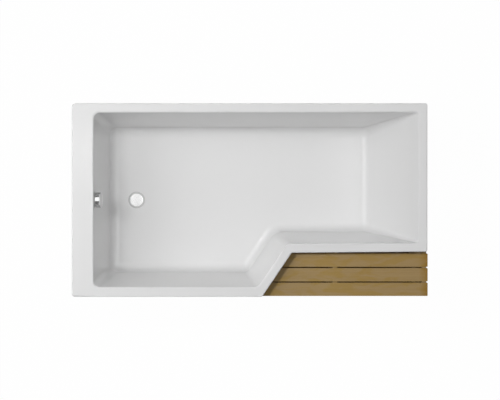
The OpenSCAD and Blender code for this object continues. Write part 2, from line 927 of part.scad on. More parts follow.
module foot_pad(n) {
    r = foot_pad_d / 2;
    color("dimgray")
        translate([foot_at(n).x, foot_at(n).y, 0])
            difference() {
                rotate_extrude()
                    polygon([
                        [0, 0],
                        [r - foot_pad_edge, 0],
                        [r, foot_pad_edge],
                        [r, foot_pad_rim_h],
                        [foot_rod_d, foot_pad_cone_h],
                        [foot_rod_d, foot_pad_h],
                        [0, foot_pad_h]
                    ]);
                translate([0, 0, foot_rod_z])
                    cylinder(d = foot_rod_d + rod_clear, h = foot_pad_h);
            }
}

// Waste and pop-up plug

module waste_seal() {
    color("dimgray")
        translate([waste_x, 0, seat_z])
            tube(flange_d - seat_clear, waste_hole_d + seat_clear, flange_seal_t);
}

module waste_flange() {
    color("lightgray")
        translate([waste_x, 0, 0]) {
            difference() {
                union() {
                    translate([0, 0, flange_z])
                        cylinder(d = flange_d, h = flange_t);
                    translate([0, 0, throat_z])
                        cylinder(d = throat_d, h = flange_z - throat_z + join);
                }
                translate([0, 0, throat_z - cut])
                    cylinder(d = throat_d - 2 * throat_wall, h = flange_top - throat_z + 2 * cut);
            }
            difference() {
                translate([0, 0, spoke_z]) {
                    cylinder(d = spoke_hub_d, h = spoke_h);
                    for (a = [0, 90])
                        rotate([0, 0, a])
                            translate([-throat_d / 2 + join, -spoke_w / 2, 0])
                                cube([throat_d - 2 * join, spoke_w, spoke_h]);
                }
                translate([0, 0, spoke_z - cut])
                    cylinder(d = stem_d + 2 * fit_clear, h = spoke_h + 2 * cut);
            }
        }
}

module waste_gasket() {
    color("dimgray")
        translate([waste_x, 0, body_top])
            tube(flange_d, waste_hole_d + seat_clear, gasket_t);
}

module waste_body() {
    bore = cup_d - 2 * cup_wall;
    color("whitesmoke")
        difference() {
            union() {
                difference() {
                    union() {
                        translate([waste_x, 0, body_z])
                            cylinder(d = cup_d, h = cup_depth);
                        translate([waste_x, 0, body_top - body_flange_t])
                            cylinder(d = body_flange_d, h = body_flange_t);
                        translate([waste_x, 0, trap_top])
                            cylinder(d = pipe_d, h = spigot_l + join);
                        translate([hose_end_x, 0, port_z])
                            rotate([0, 90, 0])
                                cylinder(d = port_d, h = port_end + 2 * cup_wall);
                        translate([gland_end_x, cable_y, port_z + cable_rise])
                            rotate([0, 90, 0])
                                cylinder(d = gland_d, h = gland_l);
                    }
                    translate([waste_x, 0, body_z + cup_wall])
                        cylinder(d = bore, h = cup_depth - cup_wall - collar_l);
                    translate([waste_x, 0, body_top - collar_l - cut])
                        cylinder(d = throat_d + 2 * fit_clear, h = collar_l + 2 * cut);
                }
                for (side = [-1, 1])
                    translate([lever_x - lug_x, side * (lug_y + lug_t / 2) - lug_t / 2, body_z + join])
                        cube([waste_x + bore / 2 - lever_x + lug_x, lug_t, lever_z + lug_over - body_z - join]);
            }
            translate([waste_x, 0, trap_top - cut])
                cylinder(d = pipe_d - 2 * pipe_wall, h = spigot_l + cup_wall + 2 * cut);
            translate([hose_end_x - cut, 0, port_z])
                rotate([0, 90, 0])
                    cylinder(d = hose_bore, h = port_end + 3 * cup_wall);
            translate([gland_end_x - cut, cable_y, port_z + cable_rise])
                rotate([0, 90, 0])
                    cylinder(d = cable_d + 2 * fit_clear, h = gland_bore_l + cut);
            translate([lever_x, -lug_y - lug_t - cut, lever_z])
                rotate([-90, 0, 0])
                    cylinder(d = lever_pin_d + 2 * fit_clear, h = 2 * (lug_y + lug_t + cut));
        }
}

// Flat below, with a rounded edge and a slight crown
module plug_cap() {
    r = plug_d / 2;
    edge_h = plug_h - plug_crown;
    flat_r = r - plug_edge_r;
    edge = [for (a = PLUG_EDGE_STEPS) [flat_r + plug_edge_r * cos(a), edge_h - plug_edge_r * (1 - sin(a))]];
    crown = [for (x = PLUG_CROWN_STEPS) [x * flat_r, edge_h + plug_crown * (1 - x ^ 2)]];
    color("gainsboro")
        translate([waste_x, 0, plug_z])
            rotate_extrude()
                polygon(concat([[0, 0], [r, 0]], edge, crown));
}

module plug_seal() {
    color("dimgray")
        translate([waste_x, 0, flange_top])
            tube(plug_d - 2 * plug_seal_in, plug_d - 2 * (plug_seal_in + plug_seal_w), plug_seal_t);
}

module plug_stem() {
    color("lightgray")
        translate([waste_x, 0, stem_end_z])
            cylinder(d = stem_d, h = plug_z - stem_end_z);
}

// Lever that the cable turns, with its round nose under the stem
module lift_lever() {
    color("gainsboro")
        translate([lever_x, 0, lever_z])
            rotate([90, 0, 0]) {
                cylinder(d = lever_hub_d, h = lever_w, center = true);
                cylinder(d = lever_pin_d, h = 2 * (lug_y + lug_t), center = true);
                translate([-lever_l, 0, 0])
                    cylinder(r = lever_r, h = lever_w, center = true);
                translate([-lever_l / 2, 0, 0])
                    cube([lever_l, 2 * lever_r, lever_w], center = true);
            }
}

// Trap

// Bend of a pipe in the YZ plane, centred on the origin, from angle a0 over sweep degrees
module pipe_bend(r, a0, sweep) {
    rotate([90, 0, 90])
        rotate([0, 0, a0])
            rotate_extrude(angle = sweep)
                translate([r, 0])
                    difference() {
                        circle(d = pipe_d);
                        circle(d = pipe_d - 2 * pipe_wall);
                    }
}

module trap_nuts() {
    bore = pipe_d + 2 * fit_clear;
    color("whitesmoke") {
        translate([waste_x, 0, trap_top - trap_nut_h / 2 + trap_nut_up])
            tube(trap_nut_d, bore, trap_nut_h);
        translate([waste_x, 2 * u_r, elbow_z - trap_nut_h])
            tube(trap_nut_d, bore, trap_nut_h);
    }
}

module trap_bend() {
    color("whitesmoke")
        translate([waste_x, 0, u_z]) {
            tube(pipe_d, pipe_d - 2 * pipe_wall, trap_leg);
            translate([0, u_r, 0])
                pipe_bend(u_r, 180, 180);
            translate([0, 2 * u_r, 0])
                tube(pipe_d, pipe_d - 2 * pipe_wall, u_out_z - u_z);
        }
}

module outlet_elbow() {
    inner = pipe_d - 2 * pipe_wall;
    color("whitesmoke")
        translate([waste_x, 0, 0]) {
            translate([0, 2 * u_r, u_out_z])
                tube(pipe_d, inner, elbow_z - u_out_z);
            translate([0, outlet_y, elbow_z])
                pipe_bend(elbow_r, 90, 90);
            translate([0, outlet_y, outlet_z])
                rotate([-90, 0, 0])
                    tube(pipe_d, inner, socket_at);
            translate([0, outlet_y + socket_at, outlet_z])
                rotate([-90, 0, 0])
                    difference() {
                        cylinder(d = pipe_d + 2 * socket_wall, h = socket_l);
                        translate([0, 0, -cut])
                            cylinder(d = inner, h = socket_l);
                        translate([0, 0, socket_floor])
                            cylinder(d = pipe_d + 2 * socket_clear, h = socket_l);
                    }
        }
}

// Overflow

module overflow_seal() {
    color("dimgray")
        at_overflow()
            translate([0, 0, house_front])
                tube(house_flange_d - seat_clear, overflow_hole_d, overflow_seal_t);
}

module overflow_housing() {
    color("whitesmoke")
        difference() {
            union() {
                at_overflow() {
                    translate([0, 0, house_front - house_flange_t])
                        cylinder(d = house_flange_d, h = house_flange_t);
                    translate([0, 0, house_back])
                        cylinder(d = house_d, h = house_depth);
                }
                translate([hose_x, 0, hose_top])
                    cylinder(d = port_d, h = overflow_z - hose_top);
                translate([hose_x, cable_y, gland_z])
                    cylinder(d = gland_d, h = gland_l);
            }
            at_overflow()
                translate([0, 0, house_back + house_wall])
                    cylinder(d = house_d - 2 * house_wall, h = house_depth);
            translate([hose_x, 0, hose_top - cut])
                cylinder(d = hose_bore, h = overflow_z - hose_top);
            translate([hose_x, cable_y, gland_z - cut])
                cylinder(d = cable_d + 2 * fit_clear, h = gland_bore_l + cut);
        }
}

module overflow_faceplate() {
    color("lightgray")
        at_overflow()
            difference() {
                union() {
                    cylinder(d = face_d, h = face_t);
                    translate([0, 0, -sleeve_l])
                        cylinder(d = sleeve_d, h = sleeve_l + join);
                }
                translate([0, 0, -sleeve_l - cut])
                    cylinder(d = sleeve_d - 2 * sleeve_wall, h = sleeve_l + cut);
                translate([0, 0, -cut])
                    cylinder(d = spindle_d + 2 * fit_clear, h = face_t + 2 * cut);
                for (k = [1:inlet_n])
                    rotate([0, 0, 360 / inlet_n * k])
                        translate([inlet_at, 0, -cut])
                            cylinder(d = inlet_d, h = face_t + 2 * cut);
            }
}

// Round knob with a domed end and a hollow back, on a solid hub that stops short of the faceplate
module overflow_knob() {
    dome_r = ((knob_d / 2) ^ 2 + knob_dome ^ 2) / (2 * knob_dome);
    hollow_d = knob_d - 2 * knob_wall;
    top = knob_gap + knob_h + knob_dome;
    color("gainsboro")
        at_overflow()
            difference() {
                intersection() {
                    translate([0, 0, knob_gap])
                        cylinder(d = knob_d, h = knob_h + knob_dome);
                    translate([0, 0, top - dome_r])
                        sphere(r = dome_r, $fn = dome_sides);
                }
                translate([0, 0, knob_gap - cut])
                    tube(hollow_d, hub_d, knob_h - knob_wall + cut);
                translate([0, 0, knob_gap - cut])
                    cylinder(d = hollow_d, h = face_t + hub_gap - knob_gap + cut);
                translate([0, 0, knob_gap - cut])
                    cylinder(d = spindle_d, h = spindle_in + cut);
            }
}

module knob_spindle() {
    color("lightgray")
        at_overflow() {
            translate([0, 0, house_back + house_wall + spindle_gap])
                cylinder(d = spindle_d, h = knob_gap + spindle_in - house_back - house_wall - spindle_gap);
            translate([0, 0, cam_z])
                cylinder(d = cam_d, h = cam_t);
        }
}

// Hose and cable

// Length of a route that falls by drop, turns by a quarter circle and runs level to x1
function route_drop(z_top, z_level, r) = z_top - z_level - r;
function route_length(x, x1, z_top, z_level, r) =
    route_drop(z_top, z_level, r) + PI / 2 * r + x1 - x - r;

// Centre and direction of the route at length s, both as [x, z]
function route_at(s, x, z_top, z_level, r) =
    let (down = route_drop(z_top, z_level, r), turn = (s - down) / r * 180 / PI)
    s <= down ? [[x, z_top - s], [0, -1]]
    : turn < 90 ? [[x + r - r * cos(turn), z_level + r - r * sin(turn)], [sin(turn), -cos(turn)]]
    : [[x + r + s - down - PI / 2 * r, z_level], [1, 0]];

// Ring of points of the given radius round the route
function route_ring(at, radius, y, sides) =
    let (p = at[0], d = at[1])
    [
        for (k = [0:sides - 1])
            let (side = radius * cos(360 * k / sides), up = radius * sin(360 * k / sides))
                [p.x - d.y * up, y + side, p.y + d.x * up]
    ];

// Closed skin round a list of rings whose last ring meets the first
module ring_skin(rings) {
    n = len(rings[0]);
    m = len(rings);
    faces = [
        for (k = [0:m - 1], j = [0:n - 1])
            let (a = k * n, b = ((k + 1) % m) * n, i = (j + 1) % n)
                each [[a + j, b + j, a + i], [a + i, b + j, b + i]]
    ];
    polyhedron([for (r = rings) each r], faces);
}

hose_l = route_length(hose_x, hose_end_x, hose_top, port_z, hose_bend_r);
rib_n = floor(hose_l / rib_pitch);
hose_bore_n = 24;
cable_n = 40;

module overflow_hose() {
    step = hose_l / rib_n / 2;
    outer = [
        for (k = [0:2 * rib_n])
            route_ring(
                route_at(k * step, hose_x, hose_top, port_z, hose_bend_r),
                hose_d / 2 - (k % 2 == 0 ? 0 : rib_depth),
                0,
                hose_sides
            )
    ];
    inner = [
        for (k = [hose_bore_n:-1:0])
            route_ring(
                route_at(k * hose_l / hose_bore_n, hose_x, hose_top, port_z, hose_bend_r),
                hose_bore / 2,
                0,
                hose_sides
            )
    ];
    color("lightgray")
        ring_skin(concat(outer, inner));
}

module hose_nuts() {
    color("whitesmoke") {
        translate([hose_x, 0, hose_top - hose_nut_up])
            tube(hose_nut_d, hose_d + 2 * fit_clear, hose_nut_top_h);
        translate([hose_end_x - hose_nut_h / 2, 0, port_z])
            rotate([0, 90, 0])
                tube(hose_nut_d, hose_d + 2 * fit_clear, hose_nut_h);
    }
}

module bowden_cable() {
    level = port_z + cable_rise;
    r = hose_bend_r - cable_rise;
    x1 = gland_end_x + cable_in;
    top = gland_z + cable_in;
    total = route_length(hose_x, x1, top, level, r);
    stops = [for (k = [0:cable_n]) route_at(k * total / cable_n, hose_x, top, level, r)];
    rings = [for (at = stops) route_ring(at, cable_d / 2, cable_y, hose_sides)];
    ends = [stops[0][0], stops[cable_n][0]];
    color("dimgray")
        loft(rings, [ends[0].x, cable_y, ends[0].y], [ends[1].x, cable_y, ends[1].y]);
}

// Deck

// Slat number k, counted from the rim, mitred along the diagonal edge
module slat(k) {
    y1 = deck_y1 - (k - 1) * (slat_w + slat_gap);
    y0 = y1 - slat_w;
    c = slat_chamfer;
    color("peru")
        prism(
            [
                [diag_x(y0, deck_tuck), y0],
                [deck_x1 - c, y0],
                [deck_x1, y0 + c],
                [deck_x1, y1 - c],
                [deck_x1 - c, y1],
                [diag_x(y1, deck_tuck), y1]
            ],
            deck_z - slat_t,
            deck_z
        );
}

module slat_1() {
    slat(1);
}

module slat_2() {
    slat(2);
}

module slat_3() {
    slat(3);
}

// Cross batten centred on x under all the slats, with spacers that rise between them
module cross_batten(x) {
    x0 = x - cross_w / 2;
    y1 = recess_y(x0, PANEL_OFF[RECESS]) - cross_seat;
    color("peru")
        translate([x0, 0, 0]) {
            translate([0, cross_y0, post_top])
                cube([cross_w, y1 - cross_y0, cross_h]);
            translate([0, deck_y1 + spacer_clear, cross_top - join])
                cube([cross_w, y1 - deck_y1 - spacer_clear, slat_t - spacer_drop + join]);
            for (k = [1:slat_n - 1])
                translate([0, deck_y1 - k * (slat_w + slat_gap) + spacer_clear, cross_top - join])
                    cube([cross_w, slat_gap - 2 * spacer_clear, slat_t - spacer_drop + join]);
        }
}

cross_end_x = deck_x1 - cross_end_in - cross_w / 2;
cross_mid_x = deck_x1 - cross_mid_at;

module cross_batten_end() {
    cross_batten(cross_end_x);
}

module cross_batten_middle() {
    cross_batten(cross_mid_x);
}

module cross_batten_diagonal() {
    y0 = cross_y0;
    y1 = deck_y1 - post_in;
    in0 = cross_diag_in;
    in1 = cross_diag_in + cross_w;
    color("peru")
        prism(
            [[diag_x(y0, in1), y0], [diag_x(y0, in0), y0], [diag_x(y1, in0), y1], [diag_x(y1, in1), y1]],
            post_top,
            cross_top
        );
}

// Front and rear post with a low rail between them, at the x of their left faces
module post_pair(x_front, x_back) {
    brace_front = x_front + (post_w - brace_t) / 2;
    brace_back = x_back + (post_w - brace_t) / 2;
    y_front = post_front_y + post_d - join;
    y_back = post_back_y - post_d;
    color("peru") {
        translate([x_front, post_front_y, glide_t])
            cube([post_w, post_d, post_top - glide_t]);
        translate([x_back, y_back, glide_t])
            cube([post_w, post_d, post_top - glide_t]);
        prism(
            [
                [brace_front, y_front],
                [brace_front + brace_t, y_front],
                [brace_back + brace_t, y_back + join],
                [brace_back, y_back + join]
            ],
            brace_z,
            brace_z + brace_h
        );
    }
}

// X of the left faces of the front and rear posts, per pair from the left
POST_X = [
    [diag_x(post_front_y + post_d, post_diag_in), diag_x(post_back_y, post_diag_in)],
    [cross_mid_x - post_w / 2, cross_mid_x - post_w / 2],
    [cross_end_x - post_w / 2, cross_end_x - post_w / 2]
];

module posts_left() {
    post_pair(POST_X[0][0], POST_X[0][1]);
}

module posts_middle() {
    post_pair(POST_X[1][0], POST_X[1][1]);
}

module posts_end() {
    post_pair(POST_X[2][0], POST_X[2][1]);
}

// Long rail on the rear faces of the rear posts
module deck_stretcher() {
    x0 = POST_X[0][1];
    x1 = POST_X[2][1] + post_w;
    color("peru")
        translate([x0, post_back_y, brace_z])
            cube([x1 - x0, stretcher_t, brace_h]);
}

module deck_glides() {
    color("dimgray")
        for (pair = POST_X) {
            translate([pair[0] + post_w / 2, post_front_y + post_d / 2, 0])
                cylinder(d = glide_d, h = glide_t);
            translate([pair[1] + post_w / 2, post_back_y - post_d / 2, 0])
                cylinder(d = glide_d, h = glide_t);
        }
}

acrylic_shell();
base_board();
batten_front();
batten_diagonal();
batten_recess();
batten_right();
batten_back();
batten_left();
rail_left();
rail_middle();
rail_right();
rail_nuts();
frame_screws();
wall_brackets();
front_panel();
panel_brackets();
foot_rod(1);  // foot_rod_1
foot_rod(2);  // foot_rod_2
foot_rod(3);  // foot_rod_3
foot_rod(4);  // foot_rod_4
foot_rod(5);  // foot_rod_5
foot_rod(6);  // foot_rod_6
foot_pad(1);  // foot_pad_1
foot_pad(2);  // foot_pad_2
foot_pad(3);  // foot_pad_3
foot_pad(4);  // foot_pad_4
foot_pad(5);  // foot_pad_5
foot_pad(6);  // foot_pad_6
waste_seal();
waste_flange();
waste_gasket();
waste_body();
plug_cap();
plug_seal();
plug_stem();
lift_lever();
trap_nuts();
trap_bend();
outlet_elbow();
overflow_seal();
overflow_housing();
overflow_faceplate();
overflow_knob();
knob_spindle();
overflow_hose();
hose_nuts();
bowden_cable();
slat_1();
slat_2();
slat_3();
cross_batten_end();
cross_batten_middle();
cross_batten_diagonal();
posts_end();
posts_middle();
posts_left();
deck_stretcher();
deck_glides();
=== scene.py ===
"""Acrylic shower bath with a slatted deck: finishes, fine pieces, light and camera.

Metres, +Z up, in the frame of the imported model.
"""

import json
import math

import bmesh
import bpy
from mathutils import Matrix, Vector


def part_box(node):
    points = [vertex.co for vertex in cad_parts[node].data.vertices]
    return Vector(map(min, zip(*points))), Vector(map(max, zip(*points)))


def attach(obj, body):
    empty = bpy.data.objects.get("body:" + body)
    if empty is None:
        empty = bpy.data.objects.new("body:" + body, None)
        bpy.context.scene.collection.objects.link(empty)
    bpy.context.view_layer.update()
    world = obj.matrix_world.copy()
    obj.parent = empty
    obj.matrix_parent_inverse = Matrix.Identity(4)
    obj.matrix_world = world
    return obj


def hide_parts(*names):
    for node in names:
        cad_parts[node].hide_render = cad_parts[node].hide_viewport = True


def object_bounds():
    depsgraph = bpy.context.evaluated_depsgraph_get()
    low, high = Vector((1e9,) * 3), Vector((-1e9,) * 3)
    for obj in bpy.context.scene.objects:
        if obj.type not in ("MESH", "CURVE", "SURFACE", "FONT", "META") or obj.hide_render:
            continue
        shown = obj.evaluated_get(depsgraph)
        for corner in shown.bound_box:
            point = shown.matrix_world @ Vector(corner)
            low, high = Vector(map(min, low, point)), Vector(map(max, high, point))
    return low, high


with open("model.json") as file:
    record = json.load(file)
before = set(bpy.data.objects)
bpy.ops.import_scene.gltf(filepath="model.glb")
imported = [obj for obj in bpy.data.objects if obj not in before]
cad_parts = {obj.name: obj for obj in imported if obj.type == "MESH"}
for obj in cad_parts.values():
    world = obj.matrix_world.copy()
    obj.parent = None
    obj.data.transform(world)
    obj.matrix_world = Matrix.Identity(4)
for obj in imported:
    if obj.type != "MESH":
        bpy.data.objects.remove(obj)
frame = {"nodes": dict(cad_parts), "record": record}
CAD_BOX = [list(corner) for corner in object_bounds()]
NODES = frame["nodes"]
MM = 0.001

# Sizes of the tub, as in the part's source
SHELL_LOW, SHELL_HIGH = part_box("acrylic_shell")
TUB_X0 = SHELL_LOW.x
TUB_X1 = SHELL_HIGH.x
TUB_W = SHELL_HIGH.y - SHELL_LOW.y
RIM_Z = SHELL_HIGH.z
UNDER_Z = SHELL_LOW.z
SHELL_T = 6 * MM
FLOOR_H = UNDER_Z + SHELL_T
TUB_DEPTH = RIM_Z - FLOOR_H
SKIRT_H = 40 * MM
WIDE_L = 910 * MM
DIAG_RUN = 142 * MM
RECESS_D = 210 * MM
RECESS_TAPER = 5 * MM
EDGE_R = 5 * MM
LIP_R = 8 * MM
FLOOR_R = 50 * MM
FLOOR_RISE = 8 * MM
SEAT_DROP = 2 * MM
WASTE_HOLE_R = 26 * MM
SEAT_R = 43 * MM
OVERFLOW_HOLE_R = 27 * MM
OVERFLOW_DROP = 48 * MM
# Circles round the waste that the rings of the floor and of its underside end at
WASTE_ROUND_R = 80 * MM
UNDER_ROUND_R = 90 * MM

# Per edge, from the front edge anticlockwise: rim width and wall slope
RIM = [39 * MM, 35 * MM, 37 * MM, 38 * MM, 37 * MM, 96 * MM]
SLOPE = [math.radians(a) for a in (8, 10.5, 7, 27, 8, 6)]
LEFT_EDGE = 5
# Per corner: radius of the outline, of the lip, of the wall's foot and of the floor
OUT_R = [16 * MM, 8 * MM, 8 * MM, 10 * MM, 10 * MM, 16 * MM]
LIP_CORNER_R = [30 * MM, 40 * MM, 35 * MM, 12 * MM, 12 * MM, 30 * MM]
LOW_CORNER_R = [38 * MM, 44 * MM, 60 * MM, 42 * MM, 42 * MM, 38 * MM]
FLOOR_CORNER_R = [12 * MM, 12 * MM, 90 * MM, 14 * MM, 14 * MM, 12 * MM]
# The least radius a corner of the outline keeps in a ring further in
MIN_R = 1 * MM
# The corner where the diagonal meets the recessed edge points into the tub
REFLEX = 2

OUTLINE = [
    Vector((TUB_X0, -TUB_W / 2)),
    Vector((TUB_X0 + WIDE_L, -TUB_W / 2)),
    Vector((TUB_X0 + WIDE_L + DIAG_RUN, -TUB_W / 2 + RECESS_D)),
    Vector((TUB_X1, -TUB_W / 2 + RECESS_D + RECESS_TAPER)),
    Vector((TUB_X1, TUB_W / 2)),
    Vector((TUB_X0, TUB_W / 2)),
]
EDGE_COUNT = len(OUTLINE)

# Segments per corner, and per straight edge
CORNER_N = 14
EDGE_N = [22, 10, 12, 12, 22, 24]


def box_centre(name):
    low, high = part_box(name)
    return (low + high) / 2


WASTE = box_centre("plug_cap").xy


# Outline


def edge_normal(i):
    d = OUTLINE[(i + 1) % EDGE_COUNT] - OUTLINE[i]
    return Vector((d.y, -d.x)).normalized()


def corner_point(i, off):
    """Where edges i-1 and i meet once each edge has moved inward by its own offset."""
    j = (i - 1) % EDGE_COUNT
    a = edge_normal(j)
    b = edge_normal(i)
    reach_a = a.dot(OUTLINE[i]) - off[j]
    reach_b = b.dot(OUTLINE[i]) - off[i]
    det = a.x * b.y - a.y * b.x
    return Vector(((reach_a * b.y - reach_b * a.y) / det, (a.x * reach_b - b.x * reach_a) / det))


def corner_arc(a, b, c, r, n):
    """Arc of radius r that rounds the corner b between a and c."""
    da = (a - b).normalized()
    dc = (c - b).normalized()
    half = math.acos(da.dot(dc)) / 2
    centre = b + (da + dc).normalized() * r / math.sin(half)
    start = b + da * r / math.tan(half) - centre
    turn = math.copysign(math.pi - 2 * half, da.y * dc.x - da.x * dc.y)
    begin = math.atan2(start.y, start.x)
    angles = [begin + turn * k / n for k in range(n + 1)]
    return [centre + r * Vector((math.cos(t), math.sin(t))) for t in angles]


def ring(off, radii):
    """Closed ring of the outline at the given offsets, with points along its straight edges too."""
    corners = [corner_point(i, off) for i in range(EDGE_COUNT)]
    arcs = []
    for i, corner in enumerate(corners):
        after = corners[(i + 1) % EDGE_COUNT]
        arcs.append(corner_arc(corners[i - 1], corner, after, radii[i], CORNER_N))
    points = []
    for i, arc in enumerate(arcs):
        points += arc
        after = arcs[(i + 1) % EDGE_COUNT][0]
        points += [arc[-1].lerp(after, k / EDGE_N[i]) for k in range(1, EDGE_N[i])]
    return points


# Tub profile


def lip_end(i):
    return LIP_R * (1 - math.sin(SLOPE[i]))


def fillet_start(i):
    return TUB_DEPTH - FLOOR_R * (1 - math.sin(SLOPE[i]))


def wall_off(i, d):
    """Offset of the straight wall of edge i at the depth d."""
    return RIM[i] + LIP_R * math.cos(SLOPE[i]) + (d - lip_end(i)) * math.tan(SLOPE[i])


def fillet_off(i):
    return wall_off(i, fillet_start(i)) + FLOOR_R * math.cos(SLOPE[i])


def inner_off(i, d):
    """Offset of the inner face: lip, wall, then the fillet to the floor."""
    if d <= lip_end(i):
        return RIM[i] + math.sqrt(LIP_R**2 - (LIP_R - d) ** 2)
    if d <= fillet_start(i):
        return wall_off(i, d)
    return fillet_off(i) - math.sqrt(max(0, FLOOR_R**2 - (FLOOR_R - TUB_DEPTH + d) ** 2))


def outer_off(i, d):
    """Offset of the outer face: wall, then the fillet round the floor's underside."""
    r = FLOOR_R + SHELL_T
    rise = d - TUB_DEPTH + FLOOR_R
    if rise <= r * math.sin(SLOPE[i]):
        return wall_off(i, d) - SHELL_T / math.cos(SLOPE[i])
    return fillet_off(i) - math.sqrt(max(0, r**2 - rise**2))


def clamp(value):
    return min(1, max(0, value))


def basin_radii(d):
    """Corner radii at the depth d: the lip's, then the wall's foot's, then the floor's."""
    wall = clamp((d - LIP_R) / (TUB_DEPTH - FLOOR_R - LIP_R))
    fillet = 1 - math.sqrt(1 - clamp(1 - (TUB_DEPTH - d) / FLOOR_R) ** 2)
    return [
        lip + (low - lip) * wall + (floor - low) * fillet
        for lip, low, floor in zip(LIP_CORNER_R, LOW_CORNER_R, FLOOR_CORNER_R)
    ]


def floor_rise(p):
    return FLOOR_RISE * (p - WASTE).length


def inner_ring(d):
    points = ring([inner_off(i, d) for i in range(EDGE_COUNT)], basin_radii(d))
    return [Vector((p.x, p.y, RIM_Z - d + d / TUB_DEPTH * floor_rise(p))) for p in points]


def outer_ring(d):
    grow = [-SHELL_T if i == REFLEX else SHELL_T for i in range(EDGE_COUNT)]
    radii = [r + g for r, g in zip(basin_radii(min(d, TUB_DEPTH)), grow)]
    points = ring([outer_off(i, d) for i in range(EDGE_COUNT)], radii)
    return [Vector((p.x, p.y, RIM_Z - d)) for p in points]


def rim_ring(off, d):
    """Ring at one offset all round, with the outline's corner radii less that offset."""
    radii = [r + off if i == REFLEX else max(MIN_R, r - off) for i, r in enumerate(OUT_R)]
    return [Vector((p.x, p.y, RIM_Z - d)) for p in ring([off] * EDGE_COUNT, radii)]


def circle_ring(like, r, z):
    """Circle round the waste, with a point in the direction of each point of another ring."""
    points = []
    for p in like:
        way = (p.xy - WASTE).normalized() * r
        points.append(Vector((WASTE.x + way.x, WASTE.y + way.y, z)))
    return points


def floor_ring(edge, share):
    """Ring on the floor, a share of the way from its edge to a circle round the waste."""
    points = []
    for p in edge:
        way = p.xy - WASTE
        q = WASTE + way.normalized() * (way.length * (1 - share) + WASTE_ROUND_R * share)
        points.append(Vector((q.x, q.y, FLOOR_H + floor_rise(q))))
    return points


def turns(degrees, steps):
    """Angles from 0 to the given one, in even steps."""
    return [math.radians(degrees) * k / steps for k in range(steps + 1)]


def circle_angles(sides):
    return [2 * math.pi * k / sides for k in range(sides)]


# Mesh helpers


def add_object(name, data):
    obj = bpy.data.objects.new(name, data)
    bpy.context.scene.collection.objects.link(obj)
    return obj


def new_piece(name, mesh, body, materials, replaced):
    """Links a mesh as a piece that rides on a body, with its finish and the nodes it stands for."""
    obj = add_object(name, mesh)
    for material in materials:
        mesh.materials.append(material)
    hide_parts(*replaced)
    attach(obj, body)
    return obj


def mesh_from(name, points, faces, sharp=35):
    """Smooth mesh with its faces turned outward, and sharp edges above an angle in degrees."""
    mesh = bpy.data.meshes.new(name)
    mesh.from_pydata([tuple(p) for p in points], [], faces)
    mesh.validate()
    bm = bmesh.new()
    bm.from_mesh(mesh)
    bmesh.ops.recalc_face_normals(bm, faces=bm.faces)
    bm.to_mesh(mesh)
    bm.free()
    mesh.polygons.foreach_set("use_smooth", [True] * len(mesh.polygons))
    mesh.set_sharp_from_angle(angle=math.radians(sharp))
    return mesh


def skin(rings, closed_way=False, caps=False):
    """Points and faces of a skin through rings of equal length."""
    n = len(rings[0])
    m = len(rings)
    points = [p for r in rings for p in r]
    faces = []
    for k in range(m if closed_way else m - 1):
        a = k * n
        b = (k + 1) % m * n
        faces += [(a + j, a + (j + 1) % n, b + (j + 1) % n, b + j) for j in range(n)]
    if caps:
        faces.append(tuple(range(n)))
        faces.append(tuple(range((m - 1) * n, m * n)))
    return points, faces


LATHE_SIDES = 128
# Profiles start and end this near the axis, so that their rings don't collapse
AXIS_R = 0.01 * MM


def lathe(profile, place):
    """Points and faces of a profile of (radius, height) pairs, turned round +Z and then placed."""
    angles = circle_angles(LATHE_SIDES)
    rings = [
        [place @ Vector((r * math.cos(a), r * math.sin(a), z)) for a in angles] for r, z in profile
    ]
    return skin(rings, closed_way=True)


ROUNDING_STEPS = 5


def rounded(points, radii):
    """Closed profile with its corners rounded; a radius of 0 keeps a corner sharp."""
    flat = [Vector(p) for p in points]
    out = []
    for i, r in enumerate(radii):
        if r:
            after = flat[(i + 1) % len(flat)]
            out += corner_arc(flat[i - 1], flat[i], after, r, ROUNDING_STEPS)
        else:
            out.append(flat[i])
    return [(p.x, p.y) for p in out]


BEVEL_SEGMENTS = 3
BEVEL_ANGLE = math.radians(40)


def bevel(obj, width):
    """Rounds the edges of a CAD node with a modifier, which leaves its mesh as it is."""
    mod = obj.modifiers.new("rounded_edges", "BEVEL")
    mod.width = width
    mod.segments = BEVEL_SEGMENTS
    mod.limit_method = "ANGLE"
    mod.angle_limit = BEVEL_ANGLE
    mod.harden_normals = True


# Shader helpers


def fill_inputs(tree, node, values):
    """Sets a node's inputs, by name or number, to values or links them to other sockets."""
    for key, value in values.items():
        if isinstance(value, bpy.types.NodeSocket):
            tree.links.new(value, node.inputs[key])
        else:
            node.inputs[key].default_value = value


def add_node(tree, kind, inputs=None, **settings):
    """Adds a shader node; inputs holds values or the sockets that feed it."""
    node = tree.nodes.new(kind)
    for key, value in settings.items():
        setattr(node, key, value)
    fill_inputs(tree, node, inputs or {})
    return node


def grey(value):
    return (value, value, value, 1)


def srgb(r, g, b):
    """Linear colour of an sRGB colour given from 0 to 255."""
    parts = []
    for c in (r / 255, g / 255, b / 255):
        parts.append(c / 12.92 if c <= 0.04045 else ((c + 0.055) / 1.055) ** 2.4)
    return (*parts, 1)


def dimmed(colour, share):
    return (*(share * c for c in colour[:3]), 1)


def empty_tree(owner):
    """Node tree of a material or a world, emptied."""
    owner.use_nodes = True
    owner.node_tree.nodes.clear()
    return owner.node_tree


def start_material(name):
    """New material with an empty tree, its output and its Principled shader."""
    material = bpy.data.materials.new(name)
    tree = empty_tree(material)
    shader = add_node(tree, "ShaderNodeBsdfPrincipled")
    add_node(tree, "ShaderNodeOutputMaterial", {"Surface": shader.outputs[0]})
    return material, tree, shader


def compute(tree, operation, a, b=0.0):
    """Result of a math node on values or sockets."""
    return add_node(tree, "ShaderNodeMath", {0: a, 1: b}, operation=operation).outputs[0]


